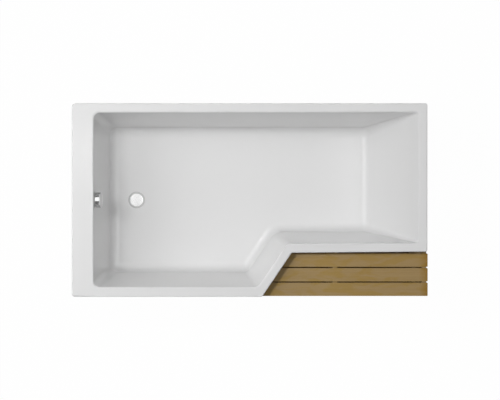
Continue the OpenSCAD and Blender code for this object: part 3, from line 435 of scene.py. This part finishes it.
def coordinates(tree, scale=(1, 1, 1)):
    """Object coordinates in metres, stretched by a scale per axis."""
    where = add_node(tree, "ShaderNodeTexCoord").outputs["Object"]
    return add_node(tree, "ShaderNodeMapping", {"Vector": where, "Scale": scale}).outputs[0]


def noise(tree, vector, scale, detail, roughness=0.5, distortion=0):
    values = {
        "Vector": vector,
        "Scale": scale,
        "Detail": detail,
        "Roughness": roughness,
        "Distortion": distortion,
    }
    return add_node(tree, "ShaderNodeTexNoise", values).outputs["Fac"]


def ramp(tree, fac, stops):
    """Colour ramp through (position, colour) stops."""
    node = add_node(tree, "ShaderNodeValToRGB", {"Fac": fac})
    elements = node.color_ramp.elements
    while len(elements) < len(stops):
        elements.new(0.5)
    for element, (position, colour) in zip(elements, stops):
        element.position = position
        element.color = colour
    return node.outputs["Color"]


def spread(tree, fac, low, high):
    """Maps a 0 to 1 value onto low to high."""
    values = {"Value": fac, "To Min": low, "To Max": high}
    return add_node(tree, "ShaderNodeMapRange", values).outputs["Result"]


def mix(tree, fac, a, b, mode="MIX"):
    """Mixes two colours; the numbers are the colour sockets of the node."""
    inputs = {0: fac, 6: a, 7: b}
    return add_node(tree, "ShaderNodeMix", inputs, data_type="RGBA", blend_type=mode).outputs[2]


def bump(tree, height, strength, distance):
    values = {"Height": height, "Strength": strength, "Distance": distance}
    return add_node(tree, "ShaderNodeBump", values).outputs[0]


def feed(tree, shader, **values):
    """Sets or links the shader's sockets by name, with _ for a space."""
    fill_inputs(tree, shader, {key.replace("_", " "): value for key, value in values.items()})


# Materials


def gloss_acrylic(name, colour):
    """Cast acrylic: clear gloss and a barely uneven white."""
    material, tree, shader = start_material(name)
    where = coordinates(tree)
    cloud = noise(tree, where, scale=2.5, detail=2)
    dust = noise(tree, where, scale=900, detail=3)
    shade = mix(tree, cloud, dimmed(colour, 0.985), colour)
    feed(
        tree,
        shader,
        Base_Color=shade,
        Roughness=spread(tree, dust, 0.07, 0.16),
        IOR=1.49,
    )
    return material


def fibreglass():
    """Back of the shell: resin over chopped strands, matt and uneven."""
    material, tree, shader = start_material("fibreglass_backing")
    where = coordinates(tree)
    look = {"scale": 1, "detail": 6, "roughness": 0.7, "distortion": 2}
    strand_a = noise(tree, coordinates(tree, (180, 14, 60)), **look)
    strand_b = noise(tree, coordinates(tree, (14, 180, 60)), **look)
    strands = mix(tree, 0.5, strand_a, strand_b, "DIFFERENCE")
    cloud = noise(tree, where, scale=6, detail=5)
    shade = ramp(tree, cloud, [(0.3, srgb(206, 203, 190)), (0.7, srgb(228, 226, 217))])
    colour = mix(tree, 0.35, shade, strands, "SOFT_LIGHT")
    feed(
        tree,
        shader,
        Base_Color=colour,
        Roughness=spread(tree, cloud, 0.42, 0.62),
        Normal=bump(tree, strands, strength=0.5, distance=0.8 * MM),
    )
    return material


def metal(name, colour, low, high, brush=(1, 1, 1)):
    """Metal with fine uneven gloss; brush stretches the pattern along the drawn direction."""
    material, tree, shader = start_material(name)
    fine = noise(tree, coordinates(tree, brush), scale=700, detail=3)
    cloud = noise(tree, coordinates(tree), scale=30, detail=4)
    shade = mix(tree, cloud, dimmed(colour, 0.9), colour)
    feed(
        tree,
        shader,
        Base_Color=shade,
        Metallic=1.0,
        Roughness=spread(tree, fine, low, high),
        Normal=bump(tree, fine, strength=0.02, distance=0.05 * MM),
    )
    return material


def zinc_steel():
    """Zinc-plated sheet: soft spangle and faint cloudiness."""
    material, tree, shader = start_material("zinc_plated_steel")
    where = coordinates(tree)
    cells = add_node(tree, "ShaderNodeTexVoronoi", {"Vector": where, "Scale": 220.0})
    cloud = noise(tree, where, scale=18, detail=5)
    tones = [(0, srgb(176, 178, 180)), (1, srgb(206, 208, 209))]
    spangle = ramp(tree, cells.outputs["Distance"], tones)
    colour = mix(tree, 0.25, spangle, cloud, "SOFT_LIGHT")
    feed(
        tree,
        shader,
        Base_Color=colour,
        Metallic=0.92,
        Roughness=spread(tree, cloud, 0.26, 0.46),
        Normal=bump(tree, cloud, strength=0.08, distance=0.1 * MM),
    )
    return material


def plastic(name, colour, low, high, grain=600, strength=0.15):
    """Moulded plastic: fine grain and slightly uneven colour."""
    material, tree, shader = start_material(name)
    where = coordinates(tree)
    fine = noise(tree, where, scale=grain, detail=3)
    cloud = noise(tree, where, scale=25, detail=3)
    shade = mix(tree, cloud, dimmed(colour, 0.93), colour)
    feed(
        tree,
        shader,
        Base_Color=shade,
        Roughness=spread(tree, fine, low, high),
        Normal=bump(tree, fine, strength, distance=0.06 * MM),
    )
    return material


def chipboard():
    """Raw chipboard: pressed flakes of several tones."""
    material, tree, shader = start_material("raw_chipboard")
    where = coordinates(tree, (240, 420, 420))
    flakes = add_node(tree, "ShaderNodeTexVoronoi", {"Vector": where, "Scale": 1.0})
    shade = ramp(
        tree,
        flakes.outputs["Color"],
        [(0.15, srgb(150, 118, 78)), (0.5, srgb(186, 152, 106)), (0.85, srgb(208, 178, 134))],
    )
    rough = noise(tree, coordinates(tree), scale=300, detail=5)
    feed(
        tree,
        shader,
        Base_Color=shade,
        Roughness=0.8,
        Normal=bump(tree, rough, strength=0.4, distance=0.3 * MM),
    )
    return material


def timber(name, dark, pale, along):
    """Planed softwood: growth lines along one axis."""
    material, tree, shader = start_material(name)
    stretch = [90, 90, 90]
    stretch[along] = 2.5
    lines = noise(
        tree, coordinates(tree, stretch), scale=1, detail=5, roughness=0.6, distortion=0.6
    )
    shade = ramp(tree, lines, [(0.3, dark), (0.62, pale)])
    feed(
        tree,
        shader,
        Base_Color=shade,
        Roughness=spread(tree, lines, 0.5, 0.7),
        Normal=bump(tree, lines, strength=0.2, distance=0.2 * MM),
    )
    return material


DECK_LOW, DECK_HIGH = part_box("slat_3")
# Tones of a slat along the deck: greyer at the start, darker and warmer at the end
DECK_TONES = [
    (0.0, srgb(153, 131, 95)),
    (0.4, srgb(163, 138, 95)),
    (0.95, srgb(164, 138, 95)),
    (1.0, srgb(150, 117, 57)),
]
WARM_BLOTCH = (0.97, 0.93, 0.7, 1)


def deck_wood(name, along):
    """Oiled hardwood: streaks along the board, warm blotches, pores and a slow change of tone."""
    material, tree, shader = start_material(name)
    where = add_node(tree, "ShaderNodeTexCoord").outputs["Object"]
    place = add_node(tree, "ShaderNodeSeparateXYZ", {"Vector": where})
    length = {"Value": place.outputs[along], "From Min": DECK_LOW.x, "From Max": DECK_HIGH.x}
    share = add_node(tree, "ShaderNodeMapRange", length).outputs["Result"]
    tone = ramp(tree, share, DECK_TONES)
    stretch = [24, 24, 24]
    stretch[along] = 9
    blotch = noise(tree, coordinates(tree, stretch), scale=1, detail=3, distortion=0.8)
    warm = mix(tree, 1.0, tone, WARM_BLOTCH, "MULTIPLY")
    tone = mix(tree, ramp(tree, blotch, [(0.44, grey(0)), (0.6, grey(1))]), tone, warm)
    stretch = [150, 150, 150]
    stretch[along] = 3
    streaks = noise(
        tree, coordinates(tree, stretch), scale=1, detail=6, roughness=0.65, distortion=0.4
    )
    stretch = [900, 900, 900]
    stretch[along] = 120
    pores = noise(tree, coordinates(tree, stretch), scale=1, detail=3, roughness=0.7)
    grain = ramp(tree, streaks, [(0.25, grey(0.38)), (0.5, grey(0.5)), (0.75, grey(0.58))])
    colour = mix(tree, 0.5, tone, grain, "SOFT_LIGHT")
    pitted = ramp(tree, pores, [(0.3, grey(0.6)), (0.42, grey(1))])
    colour = mix(tree, 0.25, colour, pitted, "MULTIPLY")
    relief = mix(tree, 0.5, streaks, pores)
    feed(
        tree,
        shader,
        Base_Color=colour,
        Specular_IOR_Level=0.1,
        Roughness=spread(tree, streaks, 0.42, 0.62),
        Normal=bump(tree, relief, strength=0.35, distance=0.25 * MM),
    )
    return material


X_AXIS, Y_AXIS, Z_AXIS = 0, 1, 2
ACRYLIC = gloss_acrylic("gloss_acrylic", grey(0.775))
PANEL = gloss_acrylic("panel_acrylic", grey(0.77))
BACKING = fibreglass()
# Metals and plastics: colour, then the least and the most roughness
CHROME = metal("polished_chrome", grey(0.62), 0.08, 0.16)
SATIN_CHROME = metal("satin_chrome", grey(0.8), 0.2, 0.3)
BRUSHED_CHROME = metal("brushed_chrome", grey(0.58), 0.3, 0.42, brush=(1, 1, 8))
# Dull chrome whose darker colour is also painted shade, for the dark ring round the plug on the
# waste flange
DULL_CHROME_AND_PAINTED_SHADE = metal("dull_chrome_and_painted_shade", grey(0.5), 0.3, 0.42)
BRASS = metal("turned_brass", srgb(204, 176, 104), 0.18, 0.32)
STEEL = zinc_steel()
BOARD = chipboard()
RUBBER = plastic("black_rubber", srgb(34, 34, 35), 0.6, 0.8, grain=400, strength=0.3)
BLACK = plastic("black_plastic", srgb(38, 38, 40), 0.4, 0.55)
PIPE = plastic("white_polypropylene", srgb(226, 226, 223), 0.3, 0.42)
HOSE = plastic("hose_plastic", srgb(204, 206, 209), 0.32, 0.45)
SHEATH = plastic("cable_sheath", srgb(52, 52, 54), 0.35, 0.5)
WOOD_X = deck_wood("deck_wood_along_x", X_AXIS)
WOOD_Y = deck_wood("deck_wood_along_y", Y_AXIS)
WOOD_Z = deck_wood("deck_wood_upright", Z_AXIS)
PALE_PINE = srgb(216, 186, 140)
DARK_PINE = srgb(190, 152, 102)
TIMBER_X = timber("frame_timber_along_x", DARK_PINE, PALE_PINE, X_AXIS)
TIMBER_Y = timber("frame_timber_along_y", DARK_PINE, PALE_PINE, Y_AXIS)

# Materials by slot, and for the nodes that differ from their slot
BY_SLOT = {
    "acrylic": ACRYLIC,
    "panel_acrylic": PANEL,
    "chipboard": BOARD,
    "frame_timber": TIMBER_X,
    "deck_wood": WOOD_X,
    "zinc_steel": STEEL,
    "chrome": CHROME,
    "brass": BRASS,
    "rubber": RUBBER,
    "black_plastic": BLACK,
    "white_plastic": PIPE,
    "hose_plastic": HOSE,
    "cable_sheath": SHEATH,
}
BY_NODE = {
    # Painted shade: the flange's darker chrome stands in for the dark gap round the plug
    "waste_flange": DULL_CHROME_AND_PAINTED_SHADE,
    "overflow_faceplate": DULL_CHROME_AND_PAINTED_SHADE,
    "batten_left": TIMBER_Y,
    "batten_right": TIMBER_Y,
    "batten_diagonal": TIMBER_Y,
    "cross_batten_end": WOOD_Y,
    "cross_batten_middle": WOOD_Y,
    "cross_batten_diagonal": WOOD_Y,
    "posts_end": WOOD_Z,
    "posts_middle": WOOD_Z,
    "posts_left": WOOD_Z,
}
# Rounding of the carried nodes' edges, by slot, and the nodes that have none
EDGE_ROUND = {
    "deck_wood": 2.2 * MM,
    "frame_timber": 1.5 * MM,
    "chipboard": 0.6 * MM,
    "zinc_steel": 0.4 * MM,
    "panel_acrylic": 0.8 * MM,
    "white_plastic": 0.8 * MM,
}
NO_BEVEL = ("frame_screws",)


def finish_nodes():
    """Gives each carried CAD node its material and softens its edges."""
    for entry in frame["record"]["subparts"]:
        name = entry["node"]
        slot = entry["material_slot"]
        obj = NODES[name]
        obj.data.materials.clear()
        obj.data.materials.append(BY_NODE.get(name, BY_SLOT[slot]))
        if slot in EDGE_ROUND and name not in NO_BEVEL:
            bevel(obj, EDGE_ROUND[slot])


# Tub shell

# Angles at which the rings of the fillet, of the rim's outer edge and of its lip are made
FILLET_TURNS = turns(86, 14)
EDGE_TURNS = turns(90, 6)
LIP_TURNS = turns(84, 10)
# Shares of the wall's depth and of the floor's way to the waste at which rings are made
WALL_SHARES = (0.25, 0.5, 0.75)
FLOOR_SHARES = (0.03, 0.3, 0.6, 0.85, 1)
SEAT_EDGE_R = 60 * MM


def shell_rings():
    """Rings round the shell's section, from under the waste hole out, up, over and back down.

    Also returns the number of the first ring on the finished outside.
    """
    r_out = FLOOR_R + SHELL_T
    flat = TUB_DEPTH + SHELL_T
    under = [outer_ring(flat - r_out * (1 - math.cos(u))) for u in FILLET_TURNS]
    rings = [circle_ring(under[0], r, UNDER_Z) for r in (WASTE_HOLE_R, UNDER_ROUND_R)]
    rings += under
    rings += [outer_ring(SHELL_T), rim_ring(SHELL_T, SHELL_T), rim_ring(SHELL_T, SKIRT_H)]
    first_finished = len(rings) - 1
    rings.append(rim_ring(0, SKIRT_H))
    for u in EDGE_TURNS:
        rings.append(rim_ring(EDGE_R * (1 - math.cos(u)), EDGE_R * (1 - math.sin(u))))
    rings += [inner_ring(LIP_R * (1 - math.cos(u))) for u in LIP_TURNS]
    wall = TUB_DEPTH - FLOOR_R - LIP_R
    rings += [inner_ring(LIP_R + wall * share) for share in WALL_SHARES]
    rings += [inner_ring(TUB_DEPTH - FLOOR_R * (1 - math.cos(u))) for u in reversed(FILLET_TURNS)]
    edge = rings[-1]
    rings += [floor_ring(edge, share) for share in FLOOR_SHARES]
    # Seat of the waste flange, as radius and height from its upper edge to the hole
    seat = [
        (SEAT_EDGE_R, FLOOR_H + floor_rise(WASTE + Vector((SEAT_EDGE_R, 0)))),
        (SEAT_R + 6 * MM, FLOOR_H - 0.2 * MM),
        (SEAT_R + 3 * MM, FLOOR_H - 0.6 * MM),
        (SEAT_R + 1 * MM, FLOOR_H - 1.4 * MM),
        (SEAT_R, FLOOR_H - SEAT_DROP),
        (WASTE_HOLE_R, FLOOR_H - SEAT_DROP),
    ]
    rings += [circle_ring(edge, r, z) for r, z in seat]
    return rings, first_finished


def overflow_place():
    """The overflow's frame: its origin on the wall's inner face, +Z into the tub."""
    origin = Vector((TUB_X0 + wall_off(LEFT_EDGE, OVERFLOW_DROP), 0, RIM_Z - OVERFLOW_DROP))
    return Matrix.Translation(origin) @ Matrix.Rotation(math.pi / 2 - SLOPE[LEFT_EDGE], 4, "Y")


OVERFLOW = overflow_place()


def cut_hole(obj, place, r, depth):
    """Cuts a round hole through a piece and keeps the result as its mesh."""
    bm = bmesh.new()
    bmesh.ops.create_cone(
        bm, cap_ends=True, segments=64, radius1=r, radius2=r, depth=depth, matrix=place
    )
    mesh = bpy.data.meshes.new("cutter")
    bm.to_mesh(mesh)
    bm.free()
    cutter = add_object("cutter", mesh)
    mod = obj.modifiers.new("hole", "BOOLEAN")
    mod.operation = "DIFFERENCE"
    mod.solver = "EXACT"
    mod.object = cutter
    graph = bpy.context.evaluated_depsgraph_get()
    result = bpy.data.meshes.new_from_object(obj.evaluated_get(graph))
    obj.modifiers.clear()
    obj.data = result
    bpy.data.objects.remove(cutter)


def tub_shell():
    """Acrylic shell, glossy where it shows and bare fibreglass at the back."""
    rings, first_finished = shell_rings()
    points, faces = skin(rings, closed_way=True)
    mesh = mesh_from("tub_shell", points, faces, sharp=40)
    obj = new_piece("tub_shell", mesh, "tub", [ACRYLIC, BACKING], ["acrylic_shell"])
    backing_faces = first_finished * len(rings[0])
    for polygon in mesh.polygons:
        polygon.material_index = 1 if polygon.index < backing_faces else 0
    cut_hole(obj, OVERFLOW, OVERFLOW_HOLE_R, depth=30 * MM)
    mod = obj.modifiers.new("even_normals", "WEIGHTED_NORMAL")
    mod.keep_sharp = True


# Overflow and waste fittings


def overflow_knob():
    """Knob with a polished side, a brushed dome with a rounded edge, and a hollow back."""
    r = 37.5 * MM
    low = 4 * MM
    high = 28 * MM
    crown = 4.5 * MM
    wall = 4 * MM
    hub = 9 * MM
    bore = 4 * MM
    hub_low = 3.5 * MM
    hub_end = low + 12 * MM
    roof = high - wall
    dome_r = (r**2 + crown**2) / (2 * crown)
    edge = r - 3 * MM
    dome_steps = 12
    dome = [edge * k / dome_steps for k in range(dome_steps, 0, -1)]
    top = [(x, high + crown - dome_r + math.sqrt(dome_r**2 - x**2)) for x in dome]
    rim = rounded(
        [(r - wall, low), (r, low), (r, high), (edge, top[0][1])],
        [0.8 * MM, 1.8 * MM, 1.6 * MM, 0],
    )
    profile = rim[:-1] + top
    # The brushed face starts halfway round the rounded edge
    brushed = range(len(rim) - 4, len(profile))
    profile += [(AXIS_R, high + crown), (AXIS_R, hub_end)]
    profile += [(bore, hub_end), (bore, hub_low), (hub, hub_low), (hub, roof), (r - wall, roof)]
    points, faces = lathe(profile, OVERFLOW)
    mesh = mesh_from("knob_cap", points, faces)
    finishes = [CHROME, BRUSHED_CHROME]
    new_piece("knob_cap", mesh, "overflow_knob", finishes, ["overflow_knob"])
    for polygon in mesh.polygons:
        polygon.material_index = 1 if polygon.index // LATHE_SIDES in brushed else 0


def plug_cap():
    """Satin plug with a slight crown and a rounded edge."""
    low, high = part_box("plug_cap")
    r = 35 * MM
    h = high.z - low.z
    crown = 1.5 * MM
    edge_r = 4 * MM
    flat_r = r - edge_r
    edge_z = h - crown
    place = Matrix.Translation(Vector((WASTE.x, WASTE.y, low.z)))
    profile = [(AXIS_R, 0), (r - 1 * MM, 0), (r, 0.3 * MM)]
    for u in turns(90, 10):
        profile.append((flat_r + edge_r * math.cos(u), edge_z - edge_r * (1 - math.sin(u))))
    for share in (0.9, 0.75, 0.6, 0.45, 0.3, 0.15):
        profile.append((share * flat_r, edge_z + crown * (1 - share**2)))
    profile.append((AXIS_R, h))
    points, faces = lathe(profile, place)
    mesh = mesh_from("plug_dome", points, faces)
    new_piece("plug_dome", mesh, "plug", [SATIN_CHROME], ["plug_cap"])


# Levelling feet

FEET = 6
THREAD_PITCH = 1.75 * MM
THREAD_DEPTH = 1.1 * MM
# Points of the thread round the rod, and rings per turn
THREAD_SIDES = 16
THREAD_STEPS = 4


def thread_ring(centre, r, z, depths):
    """Ring of points at the height z, each cut into the rod by its own depth."""
    points = []
    for a, depth in zip(circle_angles(THREAD_SIDES), depths):
        x = centre.x + (r - depth) * math.cos(a)
        y = centre.y + (r - depth) * math.sin(a)
        points.append((x, y, z))
    return points


def foot_rods():
    """Rods of the feet, with a thread cut all the way round and up them, and flat ends."""
    for number in range(1, FEET + 1):
        name = f"foot_rod_{number}"
        low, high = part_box(name)
        centre = box_centre(name)
        r = (high.x - low.x) / 2
        height = high.z - low.z
        levels = math.floor(height / THREAD_PITCH) * THREAD_STEPS
        rings = []
        for k in range(levels + 1):
            depths = [THREAD_DEPTH] * THREAD_SIDES
            if 0 < k < levels:
                for side in range(THREAD_SIDES):
                    phase = (k / THREAD_STEPS - side / THREAD_SIDES) % 1
                    depths[side] = THREAD_DEPTH * abs(2 * phase - 1)
            rings.append(thread_ring(centre, r, low.z + height * k / levels, depths))
        points, faces = skin(rings, caps=True)
        mesh = mesh_from(f"threaded_rod_{number}", points, faces, sharp=50)
        new_piece(f"threaded_rod_{number}", mesh, f"foot_{number}", [STEEL], [name])


# Hose and cable

HOSE_R = 18 * MM
HOSE_BORE_R = 13 * MM
HOSE_BEND_R = 70 * MM
HOSE_SIDES = 28
BORE_STEPS = 24
RIB_DEPTH = 2.5 * MM
RIB_PITCH = 6 * MM
RIB_STEPS = 8
CABLE_R = 2.5 * MM
CABLE_RISE = 13 * MM
CABLE_SIDES = 16
CABLE_STEPS = 120


def route_at(s, start, level, r):
    """Point and direction at the length s of a route.

    The route drops from start, bends by a quarter circle of radius r and runs along +X at level.
    """
    down = start.z - level - r
    turn = (s - down) / r
    if s <= down:
        return Vector((start.x, start.y, start.z - s)), Vector((0, 0, -1))
    if turn < math.pi / 2:
        x = start.x + (r - r * math.cos(turn))
        z = level + (r - r * math.sin(turn))
        return Vector((x, start.y, z)), Vector((math.sin(turn), 0, -math.cos(turn)))
    x = start.x + r + (turn - math.pi / 2) * r
    return Vector((x, start.y, level)), Vector((1, 0, 0))


def route_length(start, level, r, x1):
    return start.z - level - r + math.pi / 2 * r + x1 - start.x - r


def route_ring(s, route, radius, sides):
    """Ring of points round the route at the length s."""
    centre, way = route_at(s, *route)
    up = Vector((-way.z, 0, way.x))
    across = Vector((0, 1, 0))
    return [
        centre + radius * (math.cos(a) * across + math.sin(a) * up) for a in circle_angles(sides)
    ]


def overflow_hose():
    """Ribbed hose from the overflow to the waste."""
    low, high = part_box("overflow_hose")
    route = (Vector((low.x + HOSE_R, 0, high.z)), low.z + HOSE_R, HOSE_BEND_R)
    length = route_length(*route, high.x)
    steps = math.floor(length / RIB_PITCH) * RIB_STEPS
    rings = []
    for k in range(steps + 1):
        radius = HOSE_R - RIB_DEPTH * math.sin(math.pi * k / RIB_STEPS) ** 2
        rings.append(route_ring(length * k / steps, route, radius, HOSE_SIDES))
    for k in range(BORE_STEPS, -1, -1):
        rings.append(route_ring(length * k / BORE_STEPS, route, HOSE_BORE_R, HOSE_SIDES))
    points, faces = skin(rings, closed_way=True)
    mesh = mesh_from("ribbed_hose", points, faces, sharp=60)
    new_piece("ribbed_hose", mesh, "tub", [HOSE], ["overflow_hose"])


def bowden_cable():
    """Sheathed cable beside the hose."""
    low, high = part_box("bowden_cable")
    start = Vector((low.x + CABLE_R, (low.y + high.y) / 2, high.z))
    route = (start, low.z + CABLE_R, HOSE_BEND_R - CABLE_RISE)
    length = route_length(*route, high.x)
    rings = [
        route_ring(length * k / CABLE_STEPS, route, CABLE_R, CABLE_SIDES)
        for k in range(CABLE_STEPS + 1)
    ]
    points, faces = skin(rings, caps=True)
    mesh = mesh_from("cable_sheath", points, faces)
    new_piece("cable_sheath", mesh, "tub", [SHEATH], ["bowden_cable"])


# Light, floor and camera


def background_switch(tree):
    """1 for rays from the camera, from gloss and through glass, 0 for the light on the object."""
    path = add_node(tree, "ShaderNodeLightPath").outputs
    first = compute(tree, "MAXIMUM", path["Is Camera Ray"], path["Is Glossy Ray"])
    return compute(tree, "MAXIMUM", first, path["Is Transmission Ray"])


SKY_LIGHT = 0.172
# Per lamp: name, power, width of its disk, place from the rim's middle, whether gloss shows it
LAMPS = [
    ("broad_lamp", 283, 6.5, (-5.9, 1.31, 7.2), True),
    ("fill_lamp", 119, 6.5, (3.88, 0.78, 8.53), True),
    ("near_lamp", 17, 0.36, (-0.99, 0.315, 2.3), False),
    ("far_lamp", 29, 0.6, (-1.79, 0.75, 4.0), False),
]


def world_light():
    """Faint even sky, which looks white itself."""
    world = bpy.data.worlds.new("studio")
    bpy.context.scene.world = world
    tree = empty_tree(world)
    light = add_node(tree, "ShaderNodeBackground", {"Color": grey(1), "Strength": SKY_LIGHT})
    seen = add_node(tree, "ShaderNodeBackground", {"Color": grey(1), "Strength": 1.0})
    both = add_node(
        tree,
        "ShaderNodeMixShader",
        {0: background_switch(tree), 1: light.outputs[0], 2: seen.outputs[0]},
    )
    add_node(tree, "ShaderNodeOutputWorld", {"Surface": both.outputs[0]})


def soft_lamp(name, power, size, place, in_gloss):
    """Disk lamp that faces the middle of the rim and isn't seen itself."""
    data = bpy.data.lights.new(name, "AREA")
    data.shape = "DISK"
    data.size = size
    data.energy = power
    lamp = add_object(name, data)
    lamp.visible_camera = False
    lamp.visible_glossy = in_gloss
    lamp.location = Vector((0, 0, RIM_Z)) + Vector(place)
    lamp.rotation_mode = "QUATERNION"
    lamp.rotation_quaternion = (-Vector(place)).to_track_quat("-Z", "Y")


def outside_box(tree, low, high, soft):
    """0 within a flat box on the floor, rising to 1 over a soft margin round it."""
    where = add_node(tree, "ShaderNodeTexCoord").outputs["Object"]
    place = add_node(tree, "ShaderNodeSeparateXYZ", {"Vector": where})
    reach = []
    for axis in (X_AXIS, Y_AXIS):
        centred = compute(tree, "SUBTRACT", place.outputs[axis], (low[axis] + high[axis]) / 2)
        size = compute(tree, "ABSOLUTE", centred)
        reach.append(compute(tree, "SUBTRACT", size, (high[axis] - low[axis]) / 2))
    margin = {"Value": compute(tree, "MAXIMUM", *reach), "From Min": 0.0, "From Max": soft}
    rise = add_node(tree, "ShaderNodeMapRange", margin, interpolation_type="SMOOTHSTEP")
    return rise.outputs["Result"]


def flat_sheet(name, corners, material):
    """Four-cornered sheet for the set round the object."""
    mesh = bpy.data.meshes.new(name)
    mesh.from_pydata(corners, [], [(0, 1, 2, 3)])
    mesh.materials.append(material)
    return add_object(name, mesh)


FLOOR_HALF = 14
FLOOR_TONE = grey(0.8)
# Share of white in what the floor shows beyond a box round the object's footprint, and the width
# of the soft edge of that box and of the box of painted shade under the deck
FLOOR_WHITE = 0.985
FLOOR_EDGE = 0.025
END_MARGIN = 0.04
SIDE_MARGIN = 0.012
WHITE_LOW = (CAD_BOX[0][0] - END_MARGIN, CAD_BOX[0][1] - SIDE_MARGIN)
WHITE_HIGH = (CAD_BOX[1][0] + END_MARGIN, CAD_BOX[1][1] + SIDE_MARGIN)
# Painted shade: the floor under the deck is coloured dark, so that the grooves between the slats
# look shaded
FLOOR_PAINTED_SHADE = srgb(115, 96, 64)
PAINTED_SHADE_DEPTH = 0.23
PAINTED_SHADE_LOW = (DECK_LOW.x, DECK_LOW.y - SIDE_MARGIN)
PAINTED_SHADE_HIGH = (DECK_HIGH.x + END_MARGIN, DECK_LOW.y + PAINTED_SHADE_DEPTH)


def studio_floor():
    """Floor that looks white round the object, with its shadow kept faintly and painted shade under
    the deck.
    """
    material = bpy.data.materials.new("studio_floor")
    tree = empty_tree(material)
    # Painted shade: a dark floor colour within the box under the deck
    tone = mix(tree, outside_box(tree, PAINTED_SHADE_LOW, PAINTED_SHADE_HIGH, FLOOR_EDGE), FLOOR_PAINTED_SHADE, FLOOR_TONE)
    lit = add_node(tree, "ShaderNodeBsdfDiffuse", {"Color": tone})
    white = add_node(tree, "ShaderNodeEmission", {"Color": grey(1), "Strength": 1.0})
    outside = outside_box(tree, WHITE_LOW, WHITE_HIGH, FLOOR_EDGE)
    share = compute(tree, "MULTIPLY", outside, FLOOR_WHITE)
    share = compute(tree, "MULTIPLY", background_switch(tree), share)
    shades = {0: share, 1: lit.outputs[0], 2: white.outputs[0]}
    both = add_node(tree, "ShaderNodeMixShader", shades)
    add_node(tree, "ShaderNodeOutputMaterial", {"Surface": both.outputs[0]})
    corners = [(FLOOR_HALF * x, FLOOR_HALF * y, 0) for x, y in ((-1, -1), (1, -1), (1, 1), (-1, 1))]
    obj = flat_sheet("floor", corners, material)


# Cards that only gloss sees: name, two angles from upright towards +Y seen from the knob, light
CARDS = [
    ("card_front", -84, -18, 0.22),
    ("card_middle", -14, 40, 1.7),
    ("card_back", 46, 86, 0.22),
]
CARD_DISTANCE = 2.4
# Reach of the cards along X from the knob: beyond it they would show in the tub's own gloss
CARD_X0 = -1.4
CARD_X1 = -0.38


def reflected_cards():
    """Dark and bright bands for the chrome to reflect, which cast no shadow and light nothing."""
    centre = OVERFLOW.translation
    for name, near, far, bright in CARDS:
        material = bpy.data.materials.new(name)
        tree = empty_tree(material)
        shade = add_node(tree, "ShaderNodeEmission", {"Color": grey(1), "Strength": bright})
        add_node(tree, "ShaderNodeOutputMaterial", {"Surface": shade.outputs[0]})
        corners = []
        for angle, ends in ((near, (CARD_X0, CARD_X1)), (far, (CARD_X1, CARD_X0))):
            a = math.radians(angle)
            y = centre.y + CARD_DISTANCE * math.sin(a)
            z = centre.z + CARD_DISTANCE * math.cos(a)
            corners += [(centre.x + x, y, z) for x in ends]
        obj = flat_sheet(name, corners, material)
        obj.visible_camera = False
        obj.visible_diffuse = False
        obj.visible_transmission = False
        obj.visible_shadow = False


# The photograph's size in pixels, and in it the middle of the tub and the scale at the rim
IMAGE_W = 500
IMAGE_H = 400
TUB_CENTRE_PX = Vector((249.6, 200.0))
PX_PER_M = 209.26
CAMERA_HEIGHT = 6.5
SENSOR = 36
CLIP_END = 60


def photo_camera():
    """Camera straight above the tub, at the photograph's scale."""
    data = bpy.data.cameras.new("camera")
    data.sensor_width = SENSOR
    data.lens = SENSOR * PX_PER_M * CAMERA_HEIGHT / IMAGE_W
    data.clip_end = CLIP_END
    camera = add_object("camera", data)
    centre = (TUB_X0 + TUB_X1) / 2
    x = centre + (IMAGE_W / 2 - TUB_CENTRE_PX.x) / PX_PER_M
    y = (TUB_CENTRE_PX.y - IMAGE_H / 2) / PX_PER_M
    camera.location = (x, y, RIM_Z + CAMERA_HEIGHT)
    camera.rotation_euler = (0, 0, 0)
    bpy.context.scene.camera = camera


bpy.context.scene.view_settings.view_transform = "Standard"
photo_camera()
world_light()
for lamp in LAMPS:
    soft_lamp(*lamp)
studio_floor()
reflected_cards()
finish_nodes()
tub_shell()
overflow_knob()
plug_cap()
foot_rods()
overflow_hose()
bowden_cable()
